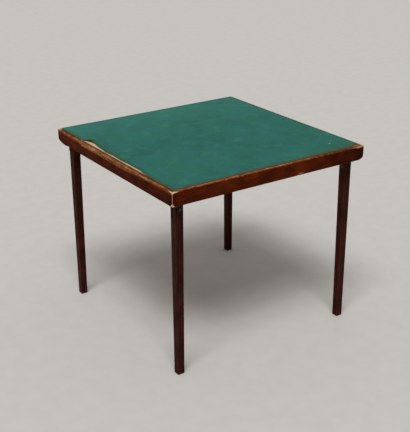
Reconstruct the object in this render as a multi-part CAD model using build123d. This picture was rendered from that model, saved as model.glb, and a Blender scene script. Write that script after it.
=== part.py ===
from build123d import *
import math
import os

# Folding card table, in millimetres, standing open on its four feet.
# The origin is on the floor under the middle of the top, +Z is up, -Y is the front and -X the left.
# Each corner is drawn once, at the front left, where its leg folds towards +X along the front rail.
# Quarter turns about the middle give the other three, so that the legs fold round like a pinwheel.

# Whole table
table_side = 820.0
frame_top_height = 696.0
seat_gap = 0.3
running_clearance = 0.05
bolt_clearance = 0.1
overrun = 5.0

# Rails of the top frame, measured in from their outer faces
rail_thickness = 22.0
rail_height = 52.0
rail_top_arris = 2.0
rail_bottom_arris = 4.0
rail_inner_arris = 2.0
frame_corner_radius = 4.0
rebate_depth = 2.0

# Plywood panel and the baize glued over it
baize_inset = 11.0
baize_thickness = 1.0
baize_corner_radius = 6.0
panel_thickness = 5.0

# Torn edge of the baize along the left side, as shares of the side from its back end and of the tear
tear_depth = 20.0
tear_shares = [
    (0.199, 0.00), (0.214, 0.35), (0.231, 0.75), (0.246, 0.95), (0.264, 1.00), (0.293, 0.97),
    (0.312, 0.90), (0.331, 0.78), (0.368, 0.68), (0.406, 0.60), (0.425, 0.47), (0.447, 0.60),
    (0.469, 0.66), (0.500, 0.56), (0.525, 0.46), (0.550, 0.28), (0.573, 0.48), (0.625, 0.50),
    (0.675, 0.45), (0.726, 0.38), (0.757, 0.18), (0.801, 0.00),
]

# Inner bearers, which close the bays that the folded legs lie in
bay_width = 48.0
bearer_thickness = 18.0
bearer_height = 40.0
bearer_arris = 3.0

# Glue blocks in the inner corners of the bearers, and the batten under the middle of the panel
block_leg = 30.0
block_height = 32.0
block_clip = 5.0
batten_width = 44.0
batten_height = 20.0
batten_arris = 3.0

# Legs
leg_width = 30.5
leg_inset = 30.0
foot_width = 25.6
foot_inset = 30.8
pivot_drop = 26.0
leg_straight = 70.0
leg_arris = 1.5
foot_arris = 1.5

# Spade-shaped steel plates on the two side faces of each leg head
plate_thickness = 2.0
plate_half_width = 21.0
plate_shoulder_drop = 38.0
plate_shoulder_radius = 5.0
plate_neck_radius = 4.0
plate_tongue_radius = 10.5
cross_bolt_drop = 51.0
cross_bolt_radius = 3.0
cross_head_radius = 6.0
cross_head_height = 2.2
cross_tail_radius = 5.5
cross_tail_height = 1.1

# Steel corner bracket, in the corner between two rails
bracket_thickness = 2.0
bracket_height = 36.0
bracket_end_reach = 46.0
bracket_side_reach = 46.0
bracket_bend = 1.5
bracket_end_radius = 8.0

# Pivot bolt of each leg, with its spacers, washer and nut
pivot_radius = 3.5
pivot_head_radius = 7.0
pivot_head_height = 2.0
spacer_radius = 6.0
washer_radius = 8.0
washer_thickness = 1.2
nut_across_flats = 11.0
nut_height = 5.0
pivot_tail = 2.0

# Wood screws that hold the brackets
screw_shank_radius = 1.8
screw_head_radius = 3.6
screw_head_height = 1.5
screw_bite = 12.0
screw_rise = 9.0
end_screw_reaches = (14.0, 32.0)
side_screw_reach = 38.0

# Toggle stay of each leg: a short lower link on the cross bolt and a long upper link on the bearer
link_thickness = 1.6
link_half_width = 7.0
anchor_reach = 110.0
stud_radius = 3.0
stud_head_radius = 5.5
stud_head_height = 1.2
stud_bite = 14.0
knuckle_radius = 2.5
knuckle_collar_radius = 4.0
knuckle_head_radius = 4.5
knuckle_head_height = 1.2

# Levels and lines that follow from the sizes above
half_side = table_side / 2
frame_bottom = frame_top_height - rail_height
rebate_floor = frame_top_height - rebate_depth
panel_inset = baize_inset + baize_thickness
panel_top = rebate_floor + panel_thickness
baize_top = panel_top + baize_thickness
rebate_wall = baize_inset - seat_gap
bearer_line = rail_thickness + bay_width
bearer_back = bearer_line + bearer_thickness
pivot_height = frame_top_height - pivot_drop
pivot_line = leg_inset + leg_width / 2
leg_back = leg_inset + leg_width
outer_plate_line = leg_inset - plate_thickness
inner_plate_back = leg_back + plate_thickness
lower_link_line = inner_plate_back + seat_gap
lower_link_back = lower_link_line + link_thickness
cross_tail_back = lower_link_back + seat_gap / 2 + cross_tail_height
upper_link_line = cross_tail_back + seat_gap
upper_link_back = upper_link_line + link_thickness
stay_span_open = math.hypot(anchor_reach, cross_bolt_drop)
stay_span_folded = anchor_reach - cross_bolt_drop
lower_link_length = (stay_span_open - stay_span_folded) / 2
upper_link_length = (stay_span_open + stay_span_folded) / 2
stay_angle = math.degrees(math.atan2(cross_bolt_drop, anchor_reach))

corner_names = ("front_left", "front_right", "back_right", "back_left")
side_names = ("front", "right", "back", "left")
quarter_turn = 90.0


def block(x_span, y_span, z_span):
    """A box between two values along each axis."""
    size = [high - low for low, high in (x_span, y_span, z_span)]
    middle = [(high + low) / 2 for low, high in (x_span, y_span, z_span)]
    return Pos(*middle) * Box(*size)


def at_corner(reach, depth, level):
    """A place near the front left corner: along the front rail, in from its face, and up."""
    return (reach - half_side, depth - half_side, level)


def rod(reach, level, depth_from, depth_to, radius):
    """A round bar that runs inwards, square to the front rail."""
    middle = at_corner(reach, (depth_from + depth_to) / 2, level)
    return Pos(*middle) * Rot(quarter_turn, 0, 0) * Cylinder(radius, depth_to - depth_from)


def plate_from(outline, depth_from, depth_to):
    """A flat piece on the line of the leg's side face: an outline in reach and height, given thickness."""
    plane = Plane(origin=(-half_side, depth_from - half_side, 0), x_dir=(1, 0, 0), z_dir=(0, -1, 0))
    return extrude(plane * outline, -(depth_to - depth_from))


def turned(shape, turns):
    """The same piece at another corner, some quarter turns about the middle of the table."""
    return Rot(0, 0, quarter_turn * turns) * shape


def bar_outline(start, end, half_width):
    """A flat bar with round ends about two points."""
    run = Vector(*end) - Vector(*start)
    middle = (Vector(*start) + Vector(*end)) * 0.5
    lean = math.degrees(math.atan2(run.Y, run.X))
    body = Pos(middle.X, middle.Y) * Rot(0, 0, lean) * Rectangle(run.length, 2 * half_width)
    return body + Pos(*start) * Circle(half_width) + Pos(*end) * Circle(half_width)


def make_rail_section():
    """Section of a rail: depth from the outer face across, height up, with its rebate for the panel."""
    outline = Polyline(
        (0, frame_bottom),
        (0, frame_top_height),
        (rebate_wall, frame_top_height),
        (rebate_wall, rebate_floor),
        (rail_thickness, rebate_floor),
        (rail_thickness, frame_bottom),
        close=True,
    )
    section = make_face(outline)
    arrises = (
        ((0, frame_bottom), rail_bottom_arris),
        ((0, frame_top_height), rail_top_arris),
        ((rail_thickness, frame_bottom), rail_inner_arris),
    )
    for place, radius in arrises:
        corner = section.vertices().sort_by_distance((place[0], place[1], 0))[0]
        section = fillet(corner, radius)
    return section


def make_rail():
    """Front rail, mitred at both ends, its outer corners worn round, and bored for its ironwork."""
    plane = Plane(origin=(-half_side, -half_side, 0), x_dir=(0, 1, 0), z_dir=(1, 0, 0))
    rail = extrude(plane * make_rail_section(), table_side)
    inner = half_side - rail_thickness
    mitre = make_face(Polyline(
        (-half_side, -half_side), (half_side, -half_side), (inner, -inner), (-inner, -inner), close=True))
    rail = rail & extrude(mitre, frame_top_height)
    rail = rail & extrude(RectangleRounded(table_side, table_side, frame_corner_radius), frame_top_height)
    recess = rod(pivot_line, pivot_height, rail_thickness - pivot_head_height - seat_gap,
                 rail_thickness + overrun, pivot_head_radius + bolt_clearance)
    rail = rail - recess
    for pilot in make_side_screws(running_clearance):
        rail = rail - pilot
    for pilot in make_end_screws(running_clearance):
        rail = rail - turned(pilot, 1)
    return rail


def make_screw(extra=0.0):
    """Wood screw along +Z: its shank bites below the bracket's face and its head sits on it."""
    shank_length = screw_bite + bracket_thickness
    shank = Pos(0, 0, -shank_length / 2) * Cylinder(screw_shank_radius + extra, shank_length + 2 * extra)
    head = Pos(0, 0, screw_head_height / 2) * Cylinder(screw_head_radius, screw_head_height)
    rim = head.edges().filter_by(GeomType.CIRCLE).sort_by(Axis.Z)[-1]
    return shank + chamfer(rim, screw_head_height / 2)


def make_side_screws(extra=0.0):
    """The two screws through the bracket's side wing into the front rail."""
    face = rail_thickness + bracket_thickness
    return [
        Pos(*at_corner(rail_thickness + side_screw_reach, face, pivot_height + rise))
        * Rot(-quarter_turn, 0, 0) * make_screw(extra)
        for rise in (-screw_rise, screw_rise)
    ]


def make_end_screws(extra=0.0):
    """The two screws through the bracket's end wing into the rail at the end of the bay."""
    face = rail_thickness + bracket_thickness
    return [
        Pos(*at_corner(face, rail_thickness + reach, pivot_height)) * Rot(0, quarter_turn, 0) * make_screw(extra)
        for reach in end_screw_reaches
    ]


def make_panel():
    """Plywood panel that lies in the rebate."""
    side = table_side - 2 * panel_inset
    panel = extrude(RectangleRounded(side, side, baize_corner_radius - baize_thickness), panel_thickness)
    return Pos(0, 0, rebate_floor) * panel


def make_baize():
    """Baize glued over the panel and down its edges, with the strip that has torn away on the left."""
    side = table_side - 2 * baize_inset
    skirt_foot = rebate_floor + seat_gap
    sheet = extrude(RectangleRounded(side, side, baize_corner_radius), baize_top - skirt_foot)
    sheet = Pos(0, 0, skirt_foot) * sheet - make_panel()
    edge = -half_side + baize_inset
    back = half_side - baize_inset
    inner = [(edge + depth * tear_depth, back - run * side) for run, depth in tear_shares]
    first, last = inner[0], inner[-1]
    outline = [(edge - overrun, first[1])] + inner + [(edge - overrun, last[1])]
    torn = extrude(make_face(Polyline(*outline, close=True)), baize_top + overrun)
    return sheet - torn


def make_bearer():
    """Front bearer, from the left rail to the right bearer, bored for the leg's pivot and the stay's stud."""
    start = rail_thickness - half_side
    end = half_side - bearer_back
    top = rebate_floor
    bearer = block((start, end), (bearer_line - half_side, bearer_back - half_side), (top - bearer_height, top))
    lower = bearer.edges().filter_by(Axis.X).group_by(Axis.Z)[0]
    bearer = chamfer(lower, bearer_arris)
    bearer = bearer - rod(pivot_line, pivot_height, bearer_line - overrun, bearer_back + overrun,
                          pivot_radius + bolt_clearance)
    stud_end = bearer_line + stud_bite + running_clearance
    return bearer - rod(pivot_line + anchor_reach, pivot_height, bearer_line - overrun, stud_end,
                        stud_radius + running_clearance)


def make_glue_block():
    """Three-sided glue block in the angle between two bearers, with its sharp ends clipped."""
    corner = bearer_back - half_side
    outline = Polyline(
        (corner, corner),
        (corner + block_leg, corner),
        (corner + block_leg, corner + block_clip),
        (corner + block_clip, corner + block_leg),
        (corner, corner + block_leg),
        close=True,
    )
    return Pos(0, 0, rebate_floor - block_height) * extrude(make_face(outline), block_height)


def make_batten():
    """Batten across the middle, from the left bearer to the right one."""
    reach = half_side - bearer_back
    top = rebate_floor
    batten = block((-reach, reach), (-batten_width / 2, batten_width / 2), (top - batten_height, top))
    return chamfer(batten.edges().filter_by(Axis.X).group_by(Axis.Z)[0], batten_arris)


def make_leg():
    """Leg with a half-round head, straight beside its plates and tapered from there to the foot."""

    def section(level, inset, width):
        middle = inset + width / 2
        return Pos(*at_corner(middle, middle, level)) * RectangleRounded(width, width, leg_arris)

    shoulder = section(pivot_height - leg_straight, leg_inset, leg_width)
    straight = loft([section(pivot_height, leg_inset, leg_width), shoulder], ruled=True)
    foot = section(foot_arris, foot_inset, foot_width)
    sole = section(0, foot_inset + foot_arris, foot_width - 2 * foot_arris)
    taper = loft([shoulder, foot], ruled=True) + loft([foot, sole], ruled=True)
    head = rod(pivot_line, pivot_height, leg_inset, leg_back, leg_width / 2)
    head = fillet(head.edges().filter_by(GeomType.CIRCLE), leg_arris)
    leg = straight + taper + head
    for level, radius in ((pivot_height, pivot_radius), (pivot_height - cross_bolt_drop, cross_bolt_radius)):
        leg = leg - rod(pivot_line, level, leg_inset - overrun, leg_back + overrun, radius + running_clearance)
    return leg


def make_leg_plate(depth_from):
    """Spade-shaped plate: round about the pivot, square shoulders below, and a tongue for the cross bolt."""
    centre = (pivot_line, pivot_height)
    shoulder = pivot_height - plate_shoulder_drop
    cross = pivot_height - cross_bolt_drop
    wide = Pos(pivot_line, (pivot_height + shoulder) / 2) * Rectangle(2 * plate_half_width, plate_shoulder_drop)
    wide = fillet(wide.vertices().group_by(Axis.Y)[0], plate_shoulder_radius)
    tongue = Pos(pivot_line, (shoulder + cross) / 2) * Rectangle(2 * plate_tongue_radius, shoulder - cross)
    outline = wide + Pos(*centre) * Circle(plate_half_width) + tongue
    necks = [
        outline.vertices().sort_by_distance((pivot_line + side * plate_tongue_radius, shoulder, 0))[0]
        for side in (-1, 1)
    ]
    outline = fillet(necks, plate_neck_radius)
    outline = outline + Pos(pivot_line, cross) * Circle(plate_tongue_radius)
    plate = plate_from(outline, depth_from, depth_from + plate_thickness)
    for level, radius in ((pivot_height, pivot_radius), (cross, cross_bolt_radius)):
        plate = plate - rod(pivot_line, level, depth_from - overrun, depth_from + plate_thickness + overrun,
                            radius + running_clearance)
    return plate


def make_cross_bolt():
    """Bolt through both plates and the leg, which carries the stay's lower link on its tail."""
    level = pivot_height - cross_bolt_drop
    head = rod(pivot_line, level, outer_plate_line - cross_head_height, outer_plate_line, cross_head_radius)
    rim = head.edges().filter_by(GeomType.CIRCLE).sort_by(Axis.Y)[0]
    head = fillet(rim, cross_head_height * 0.7)
    shank = rod(pivot_line, level, outer_plate_line, cross_tail_back, cross_bolt_radius)
    tail = rod(pivot_line, level, cross_tail_back - cross_tail_height, cross_tail_back, cross_tail_radius)
    return head + shank + tail


def make_bracket():
    """Pressed-steel corner bracket: an end wing and a side wing, each lying on a rail's inner face."""
    wall = rail_thickness
    face = wall + bracket_thickness
    plan = make_face(Polyline(
        at_corner(wall, wall, 0), at_corner(wall + bracket_side_reach, wall, 0),
        at_corner(wall + bracket_side_reach, face, 0), at_corner(face, face, 0),
        at_corner(face, wall + bracket_end_reach, 0), at_corner(wall, wall + bracket_end_reach, 0),
        close=True))
    bends = (((wall, wall), bracket_bend + bracket_thickness), ((face, face), bracket_bend))
    for place, radius in bends:
        corner = plan.vertices().sort_by_distance(at_corner(place[0], place[1], 0))[0]
        plan = fillet(corner, radius)
    bracket = Pos(0, 0, pivot_height - bracket_height / 2) * extrude(plan, bracket_height)
    ends = bracket.edges().filter_by(Axis.X).group_by(Axis.Y)[-1]
    ends = ends + bracket.edges().filter_by(Axis.Y).group_by(Axis.X)[-1]
    bracket = fillet(ends, bracket_end_radius)
    bracket = bracket - rod(pivot_line, pivot_height, wall - overrun, face + overrun, pivot_radius + bolt_clearance)
    for screw in make_side_screws(running_clearance) + make_end_screws(running_clearance):
        bracket = bracket - screw
    return bracket


def make_pivot_bolt():
    """Pivot bolt, its flat head let into the rail behind the bracket and its tail beyond the nut."""
    head = rod(pivot_line, pivot_height, rail_thickness - pivot_head_height, rail_thickness, pivot_head_radius)
    end = bearer_back + washer_thickness + nut_height + pivot_tail
    return head + rod(pivot_line, pivot_height, rail_thickness, end, pivot_radius)


def make_tube(depth_from, depth_to, radius):
    """A ring or spacer on the pivot bolt."""
    outer = rod(pivot_line, pivot_height, depth_from, depth_to, radius)
    return outer - rod(pivot_line, pivot_height, depth_from - overrun, depth_to + overrun,
                       pivot_radius + bolt_clearance)


def make_pivot_spacers():
    """The two spacers that keep the leg's plates off the bracket and off the bearer."""
    bracket_face = rail_thickness + bracket_thickness
    return [
        make_tube(bracket_face, outer_plate_line - seat_gap, spacer_radius),
        make_tube(inner_plate_back + seat_gap, bearer_line, spacer_radius),
    ]


def make_pivot_nut():
    """Hexagon nut on the pivot bolt, with the washer under it fixed to it."""
    washer_back = bearer_back + washer_thickness
    nut_outline = RegularPolygon(nut_across_flats / 2, 6, major_radius=False)
    nut = plate_from(Pos(pivot_line, pivot_height) * nut_outline, washer_back, washer_back + nut_height)
    nut = nut - rod(pivot_line, pivot_height, washer_back - overrun, washer_back + nut_height + overrun,
                    pivot_radius + bolt_clearance)
    return nut + make_tube(bearer_back, washer_back, washer_radius)


def make_lower_link():
    """Short link of the stay, from the cross bolt to the knuckle, drawn with the stay straight."""
    start = (pivot_line, pivot_height - cross_bolt_drop)
    lean = math.radians(stay_angle)
    end = (start[0] + lower_link_length * math.cos(lean), start[1] + lower_link_length * math.sin(lean))
    link = plate_from(bar_outline(start, end, link_half_width), lower_link_line, lower_link_back)
    for place, radius in ((start, cross_bolt_radius), (end, knuckle_radius)):
        link = link - rod(place[0], place[1], lower_link_line - overrun, lower_link_back + overrun,
                          radius + running_clearance)
    return link


def knuckle_place():
    """Reach and height of the stay's knuckle with the leg open."""
    lean = math.radians(stay_angle)
    return (
        pivot_line + anchor_reach - upper_link_length * math.cos(lean),
        pivot_height - upper_link_length * math.sin(lean),
    )


def make_upper_link():
    """Long link of the stay, from the knuckle to the stud on the bearer."""
    anchor = (pivot_line + anchor_reach, pivot_height)
    link = plate_from(bar_outline(knuckle_place(), anchor, link_half_width), upper_link_line, upper_link_back)
    for place, radius in ((knuckle_place(), knuckle_radius), (anchor, stud_radius)):
        link = link - rod(place[0], place[1], upper_link_line - overrun, upper_link_back + overrun,
                          radius + running_clearance)
    return link


def make_knuckle_rivet():
    """Rivet of the knuckle, fast in the upper link, its collar just clear of the lower link."""
    reach, level = knuckle_place()
    collar = rod(reach, level, lower_link_back + seat_gap, upper_link_line, knuckle_collar_radius)
    shank = rod(reach, level, upper_link_line, upper_link_back, knuckle_radius)
    head = rod(reach, level, upper_link_back, upper_link_back + knuckle_head_height, knuckle_head_radius)
    return collar + shank + head


def make_stay_stud():
    """Shouldered stud in the bearer that the upper link turns on."""
    reach = pivot_line + anchor_reach
    head_back = upper_link_line - seat_gap
    head = rod(reach, pivot_height, head_back - stud_head_height, head_back, stud_head_radius)
    shank = rod(reach, pivot_height, head_back, bearer_line + stud_bite, stud_radius)
    collar = rod(reach, pivot_height, upper_link_back + seat_gap, bearer_line, stud_head_radius)
    return head + shank + collar


def build_parts():
    """Every node of the table by name, each a solid or a group of equal fasteners."""
    parts = {"top_panel": make_panel(), "baize": make_baize(), "panel_batten": make_batten()}
    for turns, name in enumerate(side_names):
        parts["rail_" + name] = turned(make_rail(), turns)
        parts["bearer_" + name] = turned(make_bearer(), turns)
    corner_pieces = {
        "glue_block": make_glue_block(),
        "corner_bracket": make_bracket(),
        "pivot_bolt": make_pivot_bolt(),
        "leg": make_leg(),
        "leg_plate_outer": make_leg_plate(outer_plate_line),
        "leg_plate_inner": make_leg_plate(leg_back),
        "cross_bolt": make_cross_bolt(),
        "stay_lower": make_lower_link(),
        "stay_upper": make_upper_link(),
        "knuckle_rivet": make_knuckle_rivet(),
    }
    for turns, corner in enumerate(corner_names):
        for name, shape in corner_pieces.items():
            parts[name + "_" + corner] = turned(shape, turns)
    fasteners = {
        "bracket_screws": make_side_screws() + make_end_screws(),
        "pivot_spacers": make_pivot_spacers(),
        "pivot_nuts": [make_pivot_nut()],
        "stay_studs": [make_stay_stud()],
    }
    for name, shapes in fasteners.items():
        parts[name] = Compound([turned(shape, turns).solid() for turns in range(4) for shape in shapes])
    return parts


os.makedirs("parts", exist_ok=True)
for part_name, part_shape in build_parts().items():
    export_step(part_shape, "parts/" + part_name + ".step")
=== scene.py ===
"""Folding card table with a torn baize top: its finishes and modelled detail, around the fixed frame."""

import logging
import math
import random
from collections.abc import Callable, Sequence
from dataclasses import dataclass
from enum import Enum

import bmesh
import bpy
import numpy as np
from mathutils import Matrix, Vector, noise
from mathutils.geometry import delaunay_2d_cdt


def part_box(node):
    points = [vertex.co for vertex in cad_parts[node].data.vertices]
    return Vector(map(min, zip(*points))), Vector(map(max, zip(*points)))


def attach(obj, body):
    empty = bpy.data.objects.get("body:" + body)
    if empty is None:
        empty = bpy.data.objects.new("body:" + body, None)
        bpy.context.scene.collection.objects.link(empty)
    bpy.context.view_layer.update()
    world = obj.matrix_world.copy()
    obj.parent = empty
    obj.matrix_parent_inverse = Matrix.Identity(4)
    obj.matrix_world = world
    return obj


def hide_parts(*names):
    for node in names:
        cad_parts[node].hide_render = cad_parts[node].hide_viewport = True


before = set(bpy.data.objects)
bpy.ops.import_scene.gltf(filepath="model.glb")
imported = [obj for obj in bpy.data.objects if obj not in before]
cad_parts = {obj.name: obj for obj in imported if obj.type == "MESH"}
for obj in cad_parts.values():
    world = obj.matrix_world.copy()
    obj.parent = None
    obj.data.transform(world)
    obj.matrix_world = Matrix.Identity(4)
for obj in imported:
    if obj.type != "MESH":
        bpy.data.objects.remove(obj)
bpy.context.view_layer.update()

log = logging.getLogger("card_table")

MM = 0.001
QUARTER_TURN = math.pi / 2
TINY = 1e-9
TOP = "table_top"
# The wear field where the polish is whole, well above 1, the limit of thinned polish
UNWORN = 6.0
SHARP_ANGLE = math.radians(40)
# Pieces that a softened edge is divided into
ARRIS_STEPS = 2
# Numbers of the sockets of a mix node that mixes colours
MIX_FACTOR, MIX_UNDER, MIX_OVER, MIX_RESULT = 0, 6, 7, 2

Socket = bpy.types.NodeSocket
Tree = bpy.types.NodeTree
# What may feed a socket: an output, or a node that stands for its first one
Feed = Socket | bpy.types.Node


class Turn(Enum):
    """A place round the top, with the quarter turns that bring the first one of its kind there."""

    @property
    def label(self) -> str:
        """The place's name as the nodes have it."""
        return self.name.lower()


class Side(Turn):
    """A side of the top."""

    FRONT = 0
    RIGHT = 1
    BACK = 2
    LEFT = 3


class Corner(Turn):
    """A corner of the top."""

    FRONT_LEFT = 0
    FRONT_RIGHT = 1
    BACK_RIGHT = 2
    BACK_LEFT = 3


def linear(colour: str) -> tuple[float, float, float, float]:
    """Turns an sRGB hex colour into linear light.

    Args:
        colour: six hex digits after a hash sign.

    Returns:
        Red, green, blue and a full alpha.
    """
    shares = [int(colour[start:start + 2], 16) / 255 for start in (1, 3, 5)]
    light = [share / 12.92 if share <= 0.04045 else ((share + 0.055) / 1.055) ** 2.4 for share in shares]
    return (*light, 1.0)


def add(tree: Tree, kind: str, inputs: dict | None = None, stops: Sequence | None = None,
        **settings) -> bpy.types.Node:
    """Adds one node with its settings, its ramp's stops and its inputs.

    Args:
        tree: the material's or geometry group's tree.
        kind: Blender's name of the node.
        inputs: socket name or number to a value, or to the output or node that feeds it.
        stops: places and hex colours along a colour ramp, from the lowest place up.
        settings: the node's own properties.

    Returns:
        The new node.
    """
    node = tree.nodes.new(kind)
    for name, value in settings.items():
        setattr(node, name, value)
    for index, (place, colour) in enumerate(stops or ()):
        elements = node.color_ramp.elements
        element = elements[index] if index < len(elements) else elements.new(place)
        element.position = place
        element.color = linear(colour)
    for name, value in (inputs or {}).items():
        source = value.outputs[0] if isinstance(value, bpy.types.Node) else value
        if isinstance(source, Socket):
            tree.links.new(source, node.inputs[name])
        else:
            node.inputs[name].default_value = source
    return node


class Surface:
    """A material in the making: its tree, its shader and the place that its patterns are read at."""

    def __init__(self, name: str, follows: str | None = None, **shader: float | tuple) -> None:
        """Starts the material.

        Args:
            name: the material's name.
            follows: the attribute that places the patterns; without it they lie in the object's own space.
            shader: constant inputs of the shader by name, with low lines for spaces.
        """
        self.material = bpy.data.materials.new(name)
        self.material.use_nodes = True
        self.tree = self.material.node_tree
        self.shader = self.tree.nodes["Principled BSDF"]
        for socket, value in shader.items():
            self.shader.inputs[socket.replace("_", " ")].default_value = value
        if follows:
            self.place = add(self.tree, "ShaderNodeAttribute", attribute_name=follows).outputs["Vector"]
        else:
            self.place = add(self.tree, "ShaderNodeTexCoord").outputs["Object"]

    def field(self, attribute: str) -> Socket:
        """A number that the mesh carries at its points."""
        return add(self.tree, "ShaderNodeAttribute", attribute_name=attribute).outputs["Fac"]

    def patches(self, size: float, low: float, high: float, detail: float = 3.0,
                stretch: tuple[float, float, float] = (1, 1, 1), seed: float = 0.0) -> Socket:
        """Random soft-edged patches.

        Args:
            size: the patches' real size in metres.
            low: noise value at which a patch starts.
            high: noise value from which it is full.
            detail: octaves of finer noise on it.
            stretch: how much longer the patches are along each axis.
            seed: moves the pattern, so that two of one size differ.

        Returns:
            A mask from 0 to 1.
        """
        scale = tuple(1 / (size * longer) for longer in stretch)
        mapped = add(self.tree, "ShaderNodeMapping",
                     {"Vector": self.place, "Scale": scale, "Location": (seed, 2 * seed, 3 * seed)})
        pattern = add(self.tree, "ShaderNodeTexNoise",
                      {"Vector": mapped, "Scale": 1.0, "Detail": detail})
        limits = {"Value": pattern, "From Min": low, "From Max": high}
        return add(self.tree, "ShaderNodeMapRange", limits, interpolation_type="SMOOTHSTEP").outputs["Result"]

    def coat(self, under: Feed | str, over: Feed | str, mask: Feed, strength: float = 1.0) -> Socket:
        """Lays one colour over another where a mask says.

        Args:
            under: hex colour or socket below.
            over: hex colour or socket on top.
            mask: where the upper one lies.
            strength: how much of it covers at most.

        Returns:
            The colour of both.
        """
        share = add(self.tree, "ShaderNodeMath", {0: mask, 1: strength}, operation="MULTIPLY")
        colours = [linear(colour) if isinstance(colour, str) else colour for colour in (under, over)]
        inputs = {MIX_FACTOR: share, MIX_UNDER: colours[0], MIX_OVER: colours[1]}
        return add(self.tree, "ShaderNodeMix", inputs, data_type="RGBA").outputs[MIX_RESULT]

    def coats(self, base: Feed | str, *layers: tuple[Feed | str, Feed, float]) -> Socket:
        """Lays colours over a base, one after another.

        Args:
            base: hex colour or socket below them all.
            layers: colour, mask and strength of each, as for one coat.

        Returns:
            The colour of them all.
        """
        for over, mask, strength in layers:
            base = self.coat(base, over, mask, strength)
        return base

    def total(self, *parts: tuple[Feed, float], base: float = 0.0) -> Socket:
        """The sum of masks, each times its own weight, on top of a base.

        Args:
            parts: mask and weight of each.
            base: what the sum starts from.

        Returns:
            The sum.
        """
        running = base
        for mask, weight in parts:
            term = {0: mask, 1: weight, 2: running}
            running = add(self.tree, "ShaderNodeMath", term, operation="MULTIPLY_ADD").outputs[0]
        return running

    def finish(self, colour: Socket, roughness: Socket, relief: Socket, depth: float) -> bpy.types.Material:
        """Connects the shader.

        Args:
            colour: base colour.
            roughness: roughness over the surface.
            relief: height pattern from 0 to about 1.
            depth: real height in metres that 1 of the relief stands for.

        Returns:
            The finished material.
        """
        bump = add(self.tree, "ShaderNodeBump", {"Height": relief, "Distance": depth, "Strength": 1.0})
        self.tree.links.new(colour, self.shader.inputs["Base Color"])
        self.tree.links.new(roughness, self.shader.inputs["Roughness"])
        self.tree.links.new(bump.outputs["Normal"], self.shader.inputs["Normal"])
        return self.material


@dataclass(frozen=True)
class PolishedWood:
    """Beech stained and spirit polished: dull red brown, rubbed through to pale wood at its arrises."""

    name: str
    polish: str = "#57200b"
    shade: str = "#381309"
    glow: str = "#6e2d10"
    dirt: str = "#250b04"
    thinned: str = "#88431e"
    bare: str = "#b17044"
    pale: str = "#e8cda6"
    amber: str = "#ffae80"
    worn_share: float = 1.0
    roughness: float = 0.4
    reflection: float = 0.012
    # How far the bare wood reaches where the wear field is 0, before the ragged patterns are added
    rubbed_base: float = 0.69

    def material(self) -> bpy.types.Material:
        """Grain, clouded polish, dirt from hands, painted shade on one leg, and bare wood where the mesh's
        wear field is low.
        """
        wood = Surface(self.name, follows="grain", IOR=1.5, Specular_IOR_Level=self.reflection,
                       Specular_Tint=linear(self.amber))
        clouds = wood.patches(30 * MM, 0.42, 0.64, stretch=(2.4, 1, 1))
        glow = wood.patches(46 * MM, 0.46, 0.68, detail=4.0, stretch=(2, 1, 1), seed=4.7)
        mottle = wood.patches(8 * MM, 0.48, 0.66, stretch=(1.8, 1, 1), seed=3.8)
        figure = wood.patches(3.2 * MM, 0.4, 0.62, detail=4.0, stretch=(34, 1, 1), seed=1.3)
        pores = wood.patches(0.8 * MM, 0.58, 0.68, stretch=(16, 1, 1), seed=8.1)
        scratches = wood.patches(0.9 * MM, 0.7, 0.76, detail=1.0, stretch=(26, 1.4, 1.4), seed=2.9)
        # The grime field is dirt, and on one leg painted shade
        colour = wood.coats(self.polish, (self.shade, clouds, 0.7), (self.glow, glow, 0.55),
                            (self.shade, mottle, 0.35), (self.shade, figure, 0.35), (self.shade, pores, 0.55),
                            (self.bare, scratches, 0.3), (self.dirt, wood.field("grime"), 0.8))
        ragged = wood.total(
            (wood.patches(9 * MM, 0.2, 0.8, stretch=(3, 1, 1), seed=5.5), 0.35),
            (wood.patches(1.6 * MM, 0.2, 0.8, stretch=(6, 1, 1), seed=6.6), 0.3),
            (wood.field("wear"), -1.0),
        )
        worn = add(wood.tree, "ShaderNodeMath", {0: ragged, 1: self.rubbed_base},
                   operation="ADD", use_clamp=True)
        rubbed = add(wood.tree, "ShaderNodeValToRGB", {"Fac": worn},
                     stops=((0.0, self.polish), (0.3, self.thinned), (0.66, self.bare), (1.0, self.pale)))
        colour = wood.coat(colour, rubbed, worn, self.worn_share)
        gloss = wood.total((worn, 0.3), (clouds, 0.12), (scratches, 0.2), base=self.roughness)
        relief = wood.total((pores, -0.6), (figure, -0.2), (scratches, -0.8), (worn, -0.5))
        return wood.finish(colour, gloss, relief, 0.12 * MM)


@dataclass(frozen=True)
class Softwood:
    """Sawn deal left bare under the top and browned by age, with dark growth lines."""

    name: str = "aged_sawn_deal"
    fresh: str = "#a8794c"
    late: str = "#6e4527"
    grime: str = "#4b3222"

    def material(self) -> bpy.types.Material:
        """Straight growth lines along the piece, saw marks across it and grime in patches."""
        wood = Surface(self.name, follows="grain", IOR=1.5)
        rings = wood.patches(4.5 * MM, 0.42, 0.6, detail=2.0, stretch=(26, 1, 1))
        fibre = wood.patches(0.9 * MM, 0.35, 0.7, stretch=(30, 1, 1), seed=3.1)
        saw = wood.patches(1.4 * MM, 0.45, 0.65, detail=1.0, stretch=(1, 14, 14), seed=7.7)
        grime = wood.patches(46 * MM, 0.45, 0.75, seed=9.2)
        colour = wood.coats(self.fresh, (self.late, rings, 0.75), (self.late, fibre, 0.3),
                            (self.grime, grime, 0.6))
        relief = wood.total((saw, 0.5), (fibre, 0.3), (rings, 0.3))
        return wood.finish(colour, wood.total((rings, -0.1), (grime, 0.1), base=0.72), relief, 0.2 * MM)


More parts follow.
